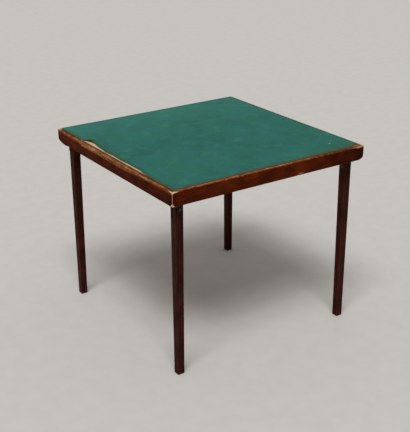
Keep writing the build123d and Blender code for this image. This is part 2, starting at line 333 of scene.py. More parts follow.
@dataclass(frozen=True)
class Plywood:
    """Birch plywood, bare: pale broad figure on its faces and a glue line between the veneers at its edge."""

    name: str = "bare_birch_plywood"
    face: str = "#b98d5c"
    figure: str = "#8d5f36"
    glue: str = "#4d2f1b"
    veneer: float = 1.25 * MM
    floor: float = 0.0

    def material(self) -> bpy.types.Material:
        """Veneer bands by height show at the edge, and rotary-cut figure on the two faces."""
        ply = Surface(self.name, IOR=1.5)
        place = add(ply.tree, "ShaderNodeSeparateXYZ", {"Vector": ply.place})
        layers = add(ply.tree, "ShaderNodeMath", {0: place.outputs["Z"], 1: self.floor}, operation="SUBTRACT")
        layers = add(ply.tree, "ShaderNodeMath", {0: layers, 1: self.veneer}, operation="PINGPONG")
        line = add(ply.tree, "ShaderNodeMapRange",
                   {"Value": layers, "From Min": 0.25 * MM, "From Max": 0.05 * MM})
        figure = ply.patches(16 * MM, 0.42, 0.62, detail=4.0, stretch=(9, 1, 1))
        fibre = ply.patches(0.8 * MM, 0.35, 0.7, stretch=(22, 1, 1), seed=2.2)
        stain = ply.patches(70 * MM, 0.5, 0.75, seed=5.1)
        colour = ply.coats(self.face, (self.figure, figure, 0.5), (self.figure, fibre, 0.35),
                           (self.glue, stain, 0.3), (self.glue, line, 0.8))
        relief = ply.total((fibre, 0.6), (line, -0.5))
        return ply.finish(colour, ply.total((fibre, 0.1), base=0.68), relief, 0.1 * MM)


@dataclass(frozen=True)
class GlueFilm:
    """Dried hide glue with pale wool fluff in it, left on the panel where the baize has come away."""

    name: str = "dried_glue_with_fluff"
    cream: str = "#d8b78a"
    pale: str = "#c8c4ab"
    brown: str = "#6e4422"
    # Painted shadow, with dark glue, in the hollow under the lifted flap
    hollow: str = "#3b391a"
    # Green fuzz with painted shade along the cloth's torn edge
    green_fuzz_and_edge_shade: str = "#375440"

    def material(self) -> bpy.types.Material:
        """Cream where it tore last, else greyer, brown where the glue is bare, green fuzz with painted shade
        beside the cloth and painted shadow under the flap.
        """
        film = Surface(self.name, IOR=1.5, Specular_IOR_Level=0.2)
        fluff = film.patches(14 * MM, 0.4, 0.62)
        bald = film.patches(7 * MM, 0.58, 0.7, seed=3.4)
        fibre = film.patches(0.7 * MM, 0.3, 0.7, detail=2.0, seed=6.1)
        colour = film.coats(self.pale, (self.cream, film.field("fresh"), 0.9), (self.pale, fluff, 0.4),
                            (self.brown, bald, 0.6), (self.brown, film.field("bare"), 0.95),
                            (self.green_fuzz_and_edge_shade, film.field("green_fuzz_and_edge_shade"), 0.97), (self.hollow, film.field("dark"), 0.92))
        relief = film.total((fibre, 0.7), (bald, -0.6))
        return film.finish(colour, film.total((bald, -0.35), base=0.85), relief, 0.25 * MM)


@dataclass(frozen=True)
class WoolBaize:
    """Milled green wool baize: a dull napped cloth with a soft sheen, clouded by wear and handling."""

    name: str = "green_wool_baize"
    green: str = "#2e6a60"
    deep: str = "#26564b"
    shadowed: str = "#0f3a2f"
    blue: str = "#2c6f72"
    leaf: str = "#2d6e55"
    faded: str = "#468376"
    handled: str = "#4b5a34"
    dingy: str = "#31503f"
    soiled: str = "#5a5340"
    lint: str = "#c9d6cd"
    # Where a fade begins and where it is full, in metres from the table's middle: painted light towards the
    # back, and handled towards the front edge and the right
    painted_back_light_run: tuple = (0.06, 0.46)
    front_run: tuple = (-0.365, -0.4)
    right_run: tuple = (0.05, 0.22)
    # Specks on the cloth by their real place in metres, with their radius and colour
    specks: tuple = (
        (0.314, -0.328, 2.8 * MM, "#dfe6dd"),
        (0.281, -0.310, 3.4 * MM, "#1f5a45"),
        (-0.146, 0.007, 2.2 * MM, "#7fa596"),
        (-0.093, -0.052, 2.6 * MM, "#6d9c8d"),
        (-0.342, 0.115, 2.4 * MM, "#8b9a80"),
        (-0.139, 0.245, 2.0 * MM, "#74a08f"),
        (-0.338, -0.392, 2.4 * MM, "#1f4a3c"),
        (0.105, 0.205, 2.4 * MM, "#2b5a4b"),
        (0.22, -0.13, 1.8 * MM, "#6d9c8d"),
    )

    def material(self) -> bpy.types.Material:
        """Large clouds, thread-sized nap, a dingy rim, painted light towards the back and painted shade in
        the crease.

        The nap is drawn at 1.3 mm, coarser than the real fibre, so that it shows from a few steps away.
        """
        cloth = Surface(self.name, Sheen_Weight=0.06, Sheen_Roughness=0.3, Sheen_Tint=linear("#9fd6c6"),
                        Specular_IOR_Level=0.06)
        clouds = cloth.patches(150 * MM, 0.4, 0.64, detail=4.0)
        bluish = cloth.patches(60 * MM, 0.46, 0.68, detail=4.0, seed=3.3)
        leafy = cloth.patches(48 * MM, 0.5, 0.7, detail=4.0, seed=6.7)
        faded = cloth.patches(60 * MM, 0.52, 0.72, detail=4.0, seed=7.1)
        tufts = cloth.patches(4.5 * MM, 0.35, 0.68, detail=2.0, seed=1.9)
        nap = cloth.patches(1.3 * MM, 0.3, 0.72, detail=2.0, stretch=(1, 2, 1), seed=5.2)
        lint = cloth.patches(1.9 * MM, 0.74, 0.79, detail=1.0, stretch=(3, 1, 1), seed=9.4)
        place = add(cloth.tree, "ShaderNodeSeparateXYZ", {"Vector": cloth.place})
        fades = (("Y", self.painted_back_light_run), ("Y", self.front_run), ("X", self.right_run))
        painted_back_light, front, right = (
            add(cloth.tree, "ShaderNodeMapRange",
                {"Value": place.outputs[axis], "From Min": begin, "From Max": full})
            for axis, (begin, full) in fades)
        handled = add(cloth.tree, "ShaderNodeMath", {0: front, 1: right}, operation="MULTIPLY")
        # Painted light makes the cloth paler towards the back, and the last coat is painted shade in the
        # crease
        colour = cloth.coats(self.green, (self.deep, clouds, 0.6), (self.blue, bluish, 0.5),
                             (self.leaf, leafy, 0.6), (self.faded, faded, 0.4), (self.deep, tufts, 0.42),
                             (self.faded, nap, 0.28), (self.lint, lint, 0.3), (self.faded, painted_back_light, 0.45),
                             (self.handled, handled, 0.6), (self.shadowed, cloth.field("sunk"), 0.95))
        for width, tint, strength in ((20 * MM, self.dingy, 0.62), (6 * MM, self.soiled, 0.85)):
            rim = add(cloth.tree, "ShaderNodeMapRange",
                      {"Value": cloth.field("from_edge"), "From Min": width, "From Max": 0.0},
                      interpolation_type="SMOOTHSTEP")
            colour = cloth.coat(colour, tint, rim, strength)
        flat = add(cloth.tree, "ShaderNodeVectorMath", {0: cloth.place, 1: (1.0, 1.0, 0.0)},
                   operation="MULTIPLY")
        for x, y, radius, tint in self.specks:
            gap = add(cloth.tree, "ShaderNodeVectorMath", {0: flat, 1: (x, y, 0.0)}, operation="DISTANCE")
            spot = add(cloth.tree, "ShaderNodeMapRange",
                       {"Value": gap.outputs["Value"], "From Min": radius, "From Max": 0.5 * radius})
            colour = cloth.coat(colour, tint, spot, 0.85)
        relief = cloth.total((nap, 0.6), (tufts, 0.5), (lint, 0.6))
        return cloth.finish(colour, cloth.total((faded, 0.04), base=0.92), relief, 0.35 * MM)


@dataclass(frozen=True)
class Steel:
    """Pressed mild steel with a dull skin: blackened, oiled or tarnished, rubbed brighter in places."""

    name: str
    skin: str
    rubbed: str
    rust: str = "#5b2f1a"
    rust_share: float = 0.35
    roughness: float = 0.5

    def material(self) -> bpy.types.Material:
        """Clouded skin, rust freckles and fine rolling marks."""
        steel = Surface(self.name, Metallic=1.0)
        clouds = steel.patches(11 * MM, 0.42, 0.66)
        rolling = steel.patches(0.7 * MM, 0.35, 0.7, detail=2.0, stretch=(1, 1, 9), seed=2.2)
        freckles = steel.patches(3.5 * MM, 0.56, 0.68, detail=4.0, seed=6.3)
        colour = steel.coats(self.skin, (self.rubbed, clouds, 0.6), (self.rubbed, rolling, 0.2),
                             (self.rust, freckles, self.rust_share))
        gloss = steel.total((clouds, -0.12), (freckles, 0.25), (rolling, 0.06), base=self.roughness)
        return steel.finish(colour, gloss, steel.total((freckles, 0.7), (rolling, 0.25)), 0.06 * MM)


def turned(points: np.ndarray, turns: int) -> np.ndarray:
    """The same points some quarter turns about the middle of the table."""
    return points @ np.array(Matrix.Rotation(turns * QUARTER_TURN, 3, "Z")).T


def wander(points: np.ndarray, size: float, seed: float) -> np.ndarray:
    """Smooth random values.

    Args:
        points: places, one a row, in metres.
        size: real size of the unevenness in metres.
        seed: moves the pattern.

    Returns:
        A value from about -1 to 1 for each point.
    """
    shift = Vector((seed * 13.7, seed * 5.3, seed * 9.1))
    return np.array([noise.noise(Vector(point) / size + shift) for point in points])


def ease(values: np.ndarray | float, start: float, end: float) -> np.ndarray:
    """A smooth rise from 0 at start to 1 at end."""
    share = np.clip((np.asarray(values, float) - start) / (end - start), 0, 1)
    return share * share * (3 - 2 * share)


def hump(values: np.ndarray, middle: float, width: float) -> np.ndarray:
    """A smooth bell of height 1 about a middle."""
    return np.exp(-(((np.asarray(values) - middle) / width) ** 2))


def rounded_outline(corners: Sequence[tuple[float, float, float]], step: float,
                    arc_steps: int = 5) -> np.ndarray:
    """Points round a closed outline whose corners are right angles, each rounded.

    Args:
        corners: across, up and radius of each corner in order.
        step: longest spacing on the straight stretches.
        arc_steps: pieces that each rounding is divided into.

    Returns:
        One point a row.
    """
    stretches = []
    for index, (across, up, radius) in enumerate(corners):
        here = np.array((across, up))
        before = np.array(corners[index - 1][:2]) - here
        after = np.array(corners[(index + 1) % len(corners)][:2]) - here
        before, after = before / np.linalg.norm(before), after / np.linalg.norm(after)
        turn = np.linspace(0, QUARTER_TURN, arc_steps + 1)[:, None]
        arc = here + radius * ((1 - np.sin(turn)) * before + (1 - np.cos(turn)) * after)
        stretches.append(arc if radius else here[None, :])
    points = []
    for index, arc in enumerate(stretches):
        run_end = stretches[(index + 1) % len(stretches)][0]
        pieces = max(1, math.ceil(np.linalg.norm(run_end - arc[-1]) / step))
        points.extend(arc)
        points.extend(arc[-1] + (run_end - arc[-1]) * share / pieces for share in range(1, pieces))
    return np.array(points)


def laid_flat(plan: np.ndarray) -> np.ndarray:
    """Places in plan as points at height 0."""
    return np.column_stack([plan, np.zeros(len(plan))])


def in_scene(name: str, data: bpy.types.ID) -> bpy.types.Object:
    """A new object of a mesh, a lamp or a camera, linked into the scene."""
    made = bpy.data.objects.new(name, data)
    bpy.context.scene.collection.objects.link(made)
    return made


def mark(mesh: bpy.types.Mesh, name: str, values: np.ndarray) -> None:
    """Writes a number or a vector for each point of a mesh as an attribute."""
    kind, key = ("FLOAT", "value") if values.ndim == 1 else ("FLOAT_VECTOR", "vector")
    attribute = mesh.attributes.new(name, kind, "POINT")
    attribute.data.foreach_set(key, values.astype(np.float32).ravel())


def piece_from(name: str, points: np.ndarray, faces: Sequence,
               marks: dict[str, np.ndarray]) -> bpy.types.Object:
    """Makes a closed or open mesh object with its faces turned outwards and its attributes.

    Args:
        name: the piece's name.
        points: one place a row.
        faces: point numbers of each face.
        marks: attribute name to values at the points.

    Returns:
        The new object, in the scene at the origin.
    """
    mesh = bpy.data.meshes.new(name)
    mesh.from_pydata(points.tolist(), [], faces)
    for key, values in marks.items():
        mark(mesh, key, values)
    tidy = bmesh.new()
    tidy.from_mesh(mesh)
    bmesh.ops.recalc_face_normals(tidy, faces=tidy.faces)
    tidy.to_mesh(mesh)
    tidy.free()
    mesh.shade_smooth()
    mesh.set_sharp_from_angle(angle=SHARP_ANGLE)
    return in_scene(name, mesh)


def tube_faces(rings: int, around: int) -> list:
    """Faces of a closed tube of equal rings of points, with one flat face at each end.

    Args:
        rings: how many rings there are.
        around: how many points each has.

    Returns:
        The point numbers of each face.
    """
    faces = [tuple(range(around)), tuple(range((rings - 1) * around, rings * around))]
    for ring in range(rings - 1):
        for spot in range(around):
            following = (spot + 1) % around
            here, there = ring * around, (ring + 1) * around
            faces.append((here + spot, here + following, there + following, there + spot))
    return faces


def place_piece(piece: bpy.types.Object, body: str, slot: str, finish: bpy.types.Material,
                *stands_for: str) -> None:
    """Dresses a piece and fixes it to its body.

    Args:
        piece: a finished mesh.
        body: the body that it moves with.
        slot: the record's material slot; not used.
        finish: its material.
        stands_for: the frame's nodes that it stands for.
    """
    piece.data.materials.clear()
    piece.data.materials.append(finish)
    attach(piece, body)
    if stands_for:
        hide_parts(*stands_for)
    log.info("%s: %d faces, on %s", piece.name, len(piece.data.polygons), body)


def softened(node: str, arris: float,
             along: Callable[[np.ndarray], np.ndarray] | None = None) -> bpy.types.Object:
    """A copy of a node of the frame with its sharp edges rounded.

    Args:
        node: the node to copy.
        arris: width of the rounding in metres.
        along: turns points into the grain's own coordinates, where the piece is wood.

    Returns:
        The new object, at the origin.
    """
    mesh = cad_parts[node].data.copy()
    mesh.name = node + "_softened"
    work = bmesh.new()
    work.from_mesh(mesh)
    bmesh.ops.remove_doubles(work, verts=work.verts, dist=0.001 * MM)
    bmesh.ops.dissolve_limit(work, angle_limit=math.radians(0.5), verts=work.verts, edges=work.edges)
    sharp = [edge for edge in work.edges
             if len(edge.link_faces) == 2 and edge.calc_face_angle() > SHARP_ANGLE]
    bmesh.ops.bevel(work, geom=sharp, offset=arris, segments=ARRIS_STEPS, profile=0.5, affect="EDGES",
                    clamp_overlap=True)
    work.to_mesh(mesh)
    work.free()
    for layer in list(mesh.uv_layers):
        mesh.uv_layers.remove(layer)
    mesh.shade_smooth()
    mesh.set_sharp_from_angle(angle=SHARP_ANGLE)
    if along:
        mark(mesh, "grain", along(np.array([vertex.co for vertex in mesh.vertices])))
    return in_scene(node + "_dressed", mesh)


def plain_mesh(piece: bpy.types.Object) -> bpy.types.Object:
    """Turns the evaluated result of a piece's modifiers into its mesh and removes them.

    Args:
        piece: an object with modifiers.

    Returns:
        The same object, now a plain mesh.
    """
    shaped = piece.evaluated_get(bpy.context.evaluated_depsgraph_get())
    mesh = bpy.data.meshes.new_from_object(shaped)
    piece.modifiers.clear()
    piece.data = mesh
    return piece


def thickened(sheet: bpy.types.Object, thickness: float) -> bpy.types.Object:
    """Turns the faces of an open level sheet up and gives it a thickness below them.

    Args:
        sheet: the open mesh.
        thickness: in metres.

    Returns:
        The sheet, now closed.
    """
    if sum(face.normal.z * face.area for face in sheet.data.polygons) < 0:
        sheet.data.flip_normals()
    wall = sheet.modifiers.new("thickness", "SOLIDIFY")
    wall.thickness, wall.offset = thickness, -1.0
    return plain_mesh(sheet)


@dataclass(frozen=True)
class CornerWear:
    """How one corner of the top has worn, in metres.

    It is rubbed bare down its edge, over a stem that spreads at head and foot, and on the tip of its top, as
    far as the least value of the wear field says. Two bare arms may run from it along the top arrises. Beside
    that, dirt from 0 to 1 lies in the polish, and its foot is knocked up over a length of both rails.
    """

    stem: float
    spread: float
    tip: float
    dirt: float
    dirt_reach: float
    least: float = 0.0
    arms: float = 0.0
    knock_height: float = 0.0
    knock_length: float = 1 * MM


@dataclass(frozen=True)
class RailPoints:
    """Points of one rail, by its side of the top.

    Across is from the rail's middle, positive to the right seen from outside. Depth is from its outer face,
    and level is the height above the floor.
    """

    side: Side
    across: np.ndarray
    depth: np.ndarray
    level: np.ndarray

    def places(self) -> np.ndarray:
        """The points one a row."""
        return np.stack([self.across, self.depth, self.level], axis=1)


@dataclass
class TopFrame:
    """The four mitred rails, with worn arrises, dents and chips."""

    corners = {
        Corner.FRONT_LEFT: CornerWear(stem=0.9 * MM, spread=9 * MM, tip=5.5 * MM, dirt=0.4,
                                      dirt_reach=45 * MM, least=0.12, arms=12 * MM),
        Corner.FRONT_RIGHT: CornerWear(stem=0.6 * MM, spread=1.5 * MM, tip=14 * MM, dirt=0.8,
                                       dirt_reach=240 * MM, least=0.3, arms=30 * MM,
                                       knock_height=16 * MM, knock_length=26 * MM),
        Corner.BACK_RIGHT: CornerWear(stem=0.5 * MM, spread=1 * MM, tip=6 * MM, dirt=0.4, dirt_reach=90 * MM),
        Corner.BACK_LEFT: CornerWear(stem=1 * MM, spread=1.2 * MM, tip=18 * MM, dirt=0.2, dirt_reach=60 * MM,
                                     least=0.22, knock_height=19 * MM, knock_length=56 * MM),
    }
    # Chips that show: place along the rail, 1 at its top or 0 at its foot, radius and depth, in millimetres
    listed_chips = {
        Side.FRONT: ((-151, 1, 4, 1.2), (-168, 1, 3.5, 1.0), (-133, 1, 4, 0.9), (212, 1, 4, 0.8)),
        Side.LEFT: ((-330, 0, 9, 1.8), (60, 1, 5, 1.0), (236, 1, 7, 1.0), (-120, 1, 5, 0.9)),
        Side.RIGHT: ((-40, 1, 5, 1.0), (150, 0, 6, 1.4)),
        Side.BACK: ((90, 1, 5, 1.0), (-210, 0, 7, 1.5)),
    }

    thickness: float = 22 * MM
    rebate: float = 2 * MM
    rebate_wall: float = 10.7 * MM
    top_arris: float = 2 * MM
    bottom_arris: float = 4 * MM
    inner_arris: float = 2 * MM
    wall_arris: float = 0.5 * MM
    floor_arris: float = 0.3 * MM
    corner_radius: float = 4 * MM
    station_step: float = 2.2 * MM
    outline_step: float = 2.0 * MM
    # How deep dents, slow waves, rubbing and the flake go at most
    dent_depth: float = 0.5 * MM
    wave_depth: float = 0.25 * MM
    rubbed_depth: float = 0.3 * MM
    flake_depth: float = 0.6 * MM
    # A fresh flake off the foot of the front rail
    flake_place: float = 117 * MM
    flake_length: float = 28 * MM
    flake_height: float = 7 * MM
    # How softly the bare stem, tip and arms of a worn corner end, and how wide the arms are
    stem_blur: float = 2.6 * MM
    stem_depth: float = 9 * MM
    tip_blur: float = 9 * MM
    arm_fade: float = 26 * MM
    arm_width: float = 5 * MM
    # How far down the left rail's face is bare and thin, and where that changes along it from its middle
    bare_drop: float = 4.5 * MM
    bare_gain: float = 7 * MM
    bare_gain_run: tuple = (20 * MM, 90 * MM)
    thin_drop: float = 14 * MM
    thin_loss: float = 5.5 * MM
    thin_loss_run: tuple = (110 * MM, 200 * MM)
    back_run: tuple = (205 * MM, 240 * MM)
    ends_run: tuple = (200 * MM, 340 * MM)
    thin_fade: float = 8 * MM
    # Small chips scattered over each rail: how many, and their radii and depths in millimetres
    small_chips: int = 9
    small_chip_radii: tuple = (2.5, 4.5)
    small_chip_depths: tuple = (0.3, 0.8)
    seed: int = 11
    # Metres between the grain of one rail and the next, so that no two look the same
    grain_shift: float = 1.7

    def __post_init__(self) -> None:
        """Takes the outer sizes from the frame and makes the finishes."""
        low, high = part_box("rail_front")
        self.half, self.bottom, self.top = high.x, low.z, high.z
        self.finish = PolishedWood("stained_beech_worn_polish").material()
        self.weathered = PolishedWood("stained_beech_weathered_polish", polish="#581f05", thinned="#864e27",
                                      bare="#af7646").material()

    def section(self) -> np.ndarray:
        """Outline of a rail: depth from its outer face, and height."""
        floor = self.top - self.rebate
        return rounded_outline((
            (0.0, self.bottom, self.bottom_arris),
            (0.0, self.top, self.top_arris),
            (self.rebate_wall, self.top, self.wall_arris),
            (self.rebate_wall, floor, 0.0),
            (self.thickness, floor, self.floor_arris),
            (self.thickness, self.bottom, self.inner_arris),
        ), self.outline_step)

    def ends(self, side: Side) -> tuple[tuple[int, CornerWear], ...]:
        """The ends of a rail seen from outside: -1 with the left corner's wear, 1 with the right one's."""
        return ((-1, self.corners[Corner(side.value)]), (1, self.corners[Corner((side.value + 1) % 4)]))

    def corner_wear(self, at: RailPoints) -> np.ndarray:
        """Wear about the two corners of a rail: 0 where it is most, 1 at its limit.

        Args:
            at: the rail's points.

        Returns:
            The wear field of each point.
        """
        middle, half_height = (self.top + self.bottom) / 2, (self.top - self.bottom) / 2
        drop = np.maximum(self.top - at.level, 0)
        flare = np.clip((at.level - middle) / half_height, 0, 1) ** 6
        flare += np.clip((middle - at.level) / (half_height - self.bottom_arris), 0, 1) ** 5
        field = np.full(len(at.across), UNWORN)
        for end, corner in self.ends(at.side):
            gap = np.maximum(self.half - end * at.across, 0)
            on_face = np.maximum(gap - corner.stem - corner.spread * flare, 0) / self.stem_blur
            on_face += at.depth / self.stem_depth
            on_top = np.maximum(np.hypot(gap, at.depth) - corner.tip, 0) / self.tip_blur
            on_top += drop / self.top_arris
            field = np.minimum(field, np.minimum(on_face, on_top) + corner.least)
            if corner.arms:
                arm = np.maximum(gap - corner.arms, 0) / self.arm_fade
                arm += (drop + at.depth) / self.arm_width - 0.35
                field = np.minimum(field, np.maximum(arm, corner.least))
        return field

    def stripped(self, at: RailPoints, slow: np.ndarray, quick: np.ndarray) -> np.ndarray:
        """Wear of the left rail's face, bare near its top and thinned further down.

        Args:
            at: the rail's points.
            slow: slow unevenness along the rail, from about -1 to 1.
            quick: quick unevenness along it.

        Returns:
            The wear field of each point.
        """
        drop = np.maximum(self.top - at.level, 0)
        to_back = ease(-at.across, *self.back_run)
        bare = self.bare_drop + self.bare_gain * ease(-at.across, *self.bare_gain_run) * (1 - to_back)
        thin = self.thin_drop - self.thin_loss * (ease(at.across, *self.thin_loss_run) + to_back)
        field = 0.34 + 0.05 * quick + 0.05 * slow
        field += 0.17 * ease(drop, bare - 1 * MM, bare + 1.5 * MM)
        field += 0.08 * hump(drop, 8.5 * MM, 1.2 * MM) + 0.16 * ease(np.abs(at.across), *self.ends_run)
        field += np.maximum(drop - thin, 0) / self.thin_fade
        return field + 0.5 * ease(at.depth, 0.3 * MM, 2 * MM)

    def wear(self, at: RailPoints) -> np.ndarray:
        """The wear field of a rail: 0 at bare wood, 1 at the limit of thinned polish.

        Args:
            at: the rail's points.

        Returns:
            The wear field of each point.
        """
        line = np.stack([at.across, np.full_like(at.across, at.side.value), np.zeros_like(at.across)], axis=1)
        slow = wander(line, 46 * MM, 1.0 + at.side.value)
        quick = wander(line, 9 * MM, 3.0 + at.side.value)
        drop = np.maximum(self.top - at.level, 0)
        rise = np.maximum(at.level - self.bottom, 0)
        from_top = np.maximum(drop + at.depth - 0.6 * self.top_arris, 0)
        from_bottom = np.maximum(rise + at.depth - 0.6 * self.bottom_arris, 0)
        reach = np.maximum((1.6 + 0.7 * slow + 0.3 * quick) * MM, 0.6 * MM)
        low_reach = np.maximum((0.8 + 1.1 * slow - 0.6 * quick) * MM, 0.3 * MM)
        field = 0.5 - 0.14 * slow - 0.06 * quick + from_top / reach
        field = np.minimum(field, 0.66 + from_bottom / low_reach)
        strip = 0.56 - 0.08 * ease(at.depth, 1 * MM, 5 * MM) - 0.12 * slow - 0.06 * quick + drop / (1.2 * MM)
        if at.side is Side.FRONT:
            strip += 0.08 - 0.22 * ease(at.depth, 2 * MM, 8 * MM) + 0.2 * ease(at.across, 60 * MM, 240 * MM)
        if at.side is Side.LEFT:
            shaded = 0.32 - 0.2 * hump(-at.across, 160 * MM, 30 * MM)
            strip += shaded * ease(at.depth, 4.2 * MM, 8.5 * MM) - 0.12 * hump(at.depth, 2.6 * MM, 1.4 * MM)
            field = np.minimum(field, self.stripped(at, slow, quick))
        field = np.minimum(np.minimum(field, strip), self.corner_wear(at))
        inner = ease(at.depth, self.rebate_wall, self.rebate_wall + 2 * MM)
        return np.minimum(field + UNWORN * inner, UNWORN)

    def grime(self, at: RailPoints) -> np.ndarray:
        """Dirt in a rail's polish: towards its ends, in a dark line beside its corners, and at its foot.

        Args:
            at: the rail's points.

        Returns:
            0 where the polish is clean, up to 1.
        """
        line = np.stack([at.across, at.level, np.full_like(at.across, at.side.value)], axis=1)
        dirt = 0.3 * (1 - ease(at.level, self.bottom + 3 * MM, self.bottom + 15 * MM))
        if at.side is Side.LEFT:
            dirt += 0.35 * ease(self.top - at.level, 9 * MM, 16 * MM)
        for end, corner in self.ends(at.side):
            gap = self.half - end * at.across
            dirt += corner.dirt * (1 - ease(gap, 0.35 * corner.dirt_reach, corner.dirt_reach))
            dirt += 0.4 * hump(gap, 9 * MM, 5 * MM)
        return np.clip(dirt * (1 + 0.5 * wander(line, 30 * MM, 8.0)), 0, 1)

    def knocked(self, at: RailPoints) -> np.ndarray:
        """How far the feet of a rail's corners are knocked up.

        Args:
            at: the rail's points.

        Returns:
            The rise of each point: whole at the bottom of the rail and none at its top.
        """
        share = np.clip(1 - (at.level - self.bottom) / (self.top - self.bottom), 0, 1)
        rise = np.zeros_like(at.across)
        for end, corner in self.ends(at.side):
            gap = np.clip((self.half - end * at.across) / corner.knock_length, 0, 1)
            rise += corner.knock_height * (1 - np.sqrt(1 - (1 - gap) ** 2)) * share
        return rise

    def chips(self, side: Side) -> list[tuple[float, float, float, float]]:
        """Chips of a rail's arrises, the listed and the scattered ones.

        Args:
            side: which rail.

        Returns:
            Place along the rail, height, radius and depth of each.
        """
        found = [(along * MM, self.top if upper else self.bottom, radius * MM, depth * MM)
                 for along, upper, radius, depth in self.listed_chips[side]]
        draw = random.Random(self.seed + side.value)
        for _ in range(self.small_chips):
            along = draw.uniform(-0.95, 0.95) * self.half
            level = draw.choice((self.top, self.top, self.bottom))
            radius = draw.uniform(*self.small_chip_radii) * MM
            found.append((along, level, radius, draw.uniform(*self.small_chip_depths) * MM))
        return found

    def damage(self, at: RailPoints) -> tuple[np.ndarray, np.ndarray]:
        """What wear, dents, rubbing and chips do to a rail.

        Args:
            at: the rail's points.

        Returns:
            The wear field of each point, and how far it is sunk.
        """
        field, places = self.wear(at), at.places()
        outside = 1 - ease(at.depth, 0.8 * self.rebate_wall, self.rebate_wall)
        dents = np.maximum(wander(places, 17 * MM, 7.0 + at.side.value) - 0.42, 0) * 2.2
        waves = np.maximum(wander(places, 70 * MM, 5.0 + at.side.value) + 0.3, 0)
        sunk = (dents * self.dent_depth + waves * self.wave_depth) * outside
        sunk += (1 - np.minimum(field, 1)) * self.rubbed_depth * (1 + wander(places, 4 * MM, 9.0)) * outside
        for along, height, radius, hollow in self.chips(at.side):
            arris, least = (self.top_arris, 0.0) if height == self.top else (self.bottom_arris, 0.5)
            gap = np.sqrt((at.across - along) ** 2 + (1.4 * at.depth) ** 2 + (1.4 * (at.level - height)) ** 2)
            gap = np.maximum(gap - 0.55 * arris, 0)
            sunk += hollow * hump(gap, 0, radius)
            field = np.minimum(field, np.where(gap < 2 * radius, 1.6 * gap / radius + least, UNWORN))
        if at.side is Side.FRONT:
            flaked = np.hypot((at.across - self.flake_place) / self.flake_length,
                              (at.level - self.bottom - self.flake_height) / self.flake_height) * 2
            flaked += 0.25 * wander(places, 5 * MM, 12.0)
            sunk += self.flake_depth * (1 - ease(flaked, 0.7, 1.2)) * outside
            field = np.minimum(field, 0.42 + ease(flaked, 0.9, 1.4))
        return field, sunk

    def inwards(self, at: RailPoints) -> np.ndarray:
        """Directions into the wood: straight in on the face, slanting near its arrises, down on the top.

        Args:
            at: the rail's points.

        Returns:
            A direction of length 1 for each point.
        """
        centre = (self.bottom + self.top) / 2
        slant = 0.9 * np.sign(centre - at.level)
        slant *= ease(np.abs(at.level - centre), 0.7 * (self.top - centre), self.top - centre)
        ways = np.stack([np.zeros_like(slant), np.ones_like(slant), slant], axis=1)
        flat_top = ease(at.level, self.top - 0.3 * MM, self.top - 0.1 * MM)[:, None]
        ways = ways * (1 - flat_top) + np.array((0.0, 0.25, -1.0)) * flat_top
        return ways / np.linalg.norm(ways, axis=1)[:, None]

    def rounded_in_plan(self, plan: np.ndarray) -> np.ndarray:
        """Draws the points of a sharp corner in to its rounding.

        Args:
            plan: places in plan, one a row.

        Returns:
            The same places, those beyond the rounding moved.
        """
        inner = self.half - self.corner_radius
        over = np.maximum(np.abs(plan) - inner, 0)
        both = over.min(axis=1) > 0
        far = np.where(both, over.max(axis=1) / np.maximum(np.hypot(over[:, 0], over[:, 1]), TINY), 1.0)
        return np.where(both[:, None], np.sign(plan) * (inner + over * far[:, None]), plan)

    def rail(self, side: Side) -> bpy.types.Object:
        """One rail as a dense mesh, with its mitres, its worn-round corners, its dents and its chips.

        Args:
            side: which rail.

        Returns:
            The rail, in the scene.
        """
        outline = self.section()
        stations = np.linspace(-1, 1, round(2 * self.half / self.station_step))
        depth, level = np.tile(outline[:, 0], len(stations)), np.tile(outline[:, 1], len(stations))
        at = RailPoints(side, np.repeat(stations, len(outline)) * (self.half - depth), depth, level)
        field, sunk = self.damage(at)
        local = np.stack([at.across, depth - self.half, level], axis=1) + self.inwards(at) * sunk[:, None]
        local[:, :2] = self.rounded_in_plan(local[:, :2])
        local[:, 2] += self.knocked(at)
        grain = at.places() + np.array((self.grain_shift * side.value, 0.0, 0.0))
        return piece_from("rail_" + side.label + "_worn", turned(local, side.value),
                          tube_faces(len(stations), len(outline)),
                          {"grain": grain, "wear": field, "grime": self.grime(at)})

    def build(self) -> None:
        """Makes, dresses and places the four rails."""
        for side in Side:
            finish = self.weathered if side is Side.LEFT else self.finish
            place_piece(self.rail(side), TOP, "rail_wood", finish, "rail_" + side.label)


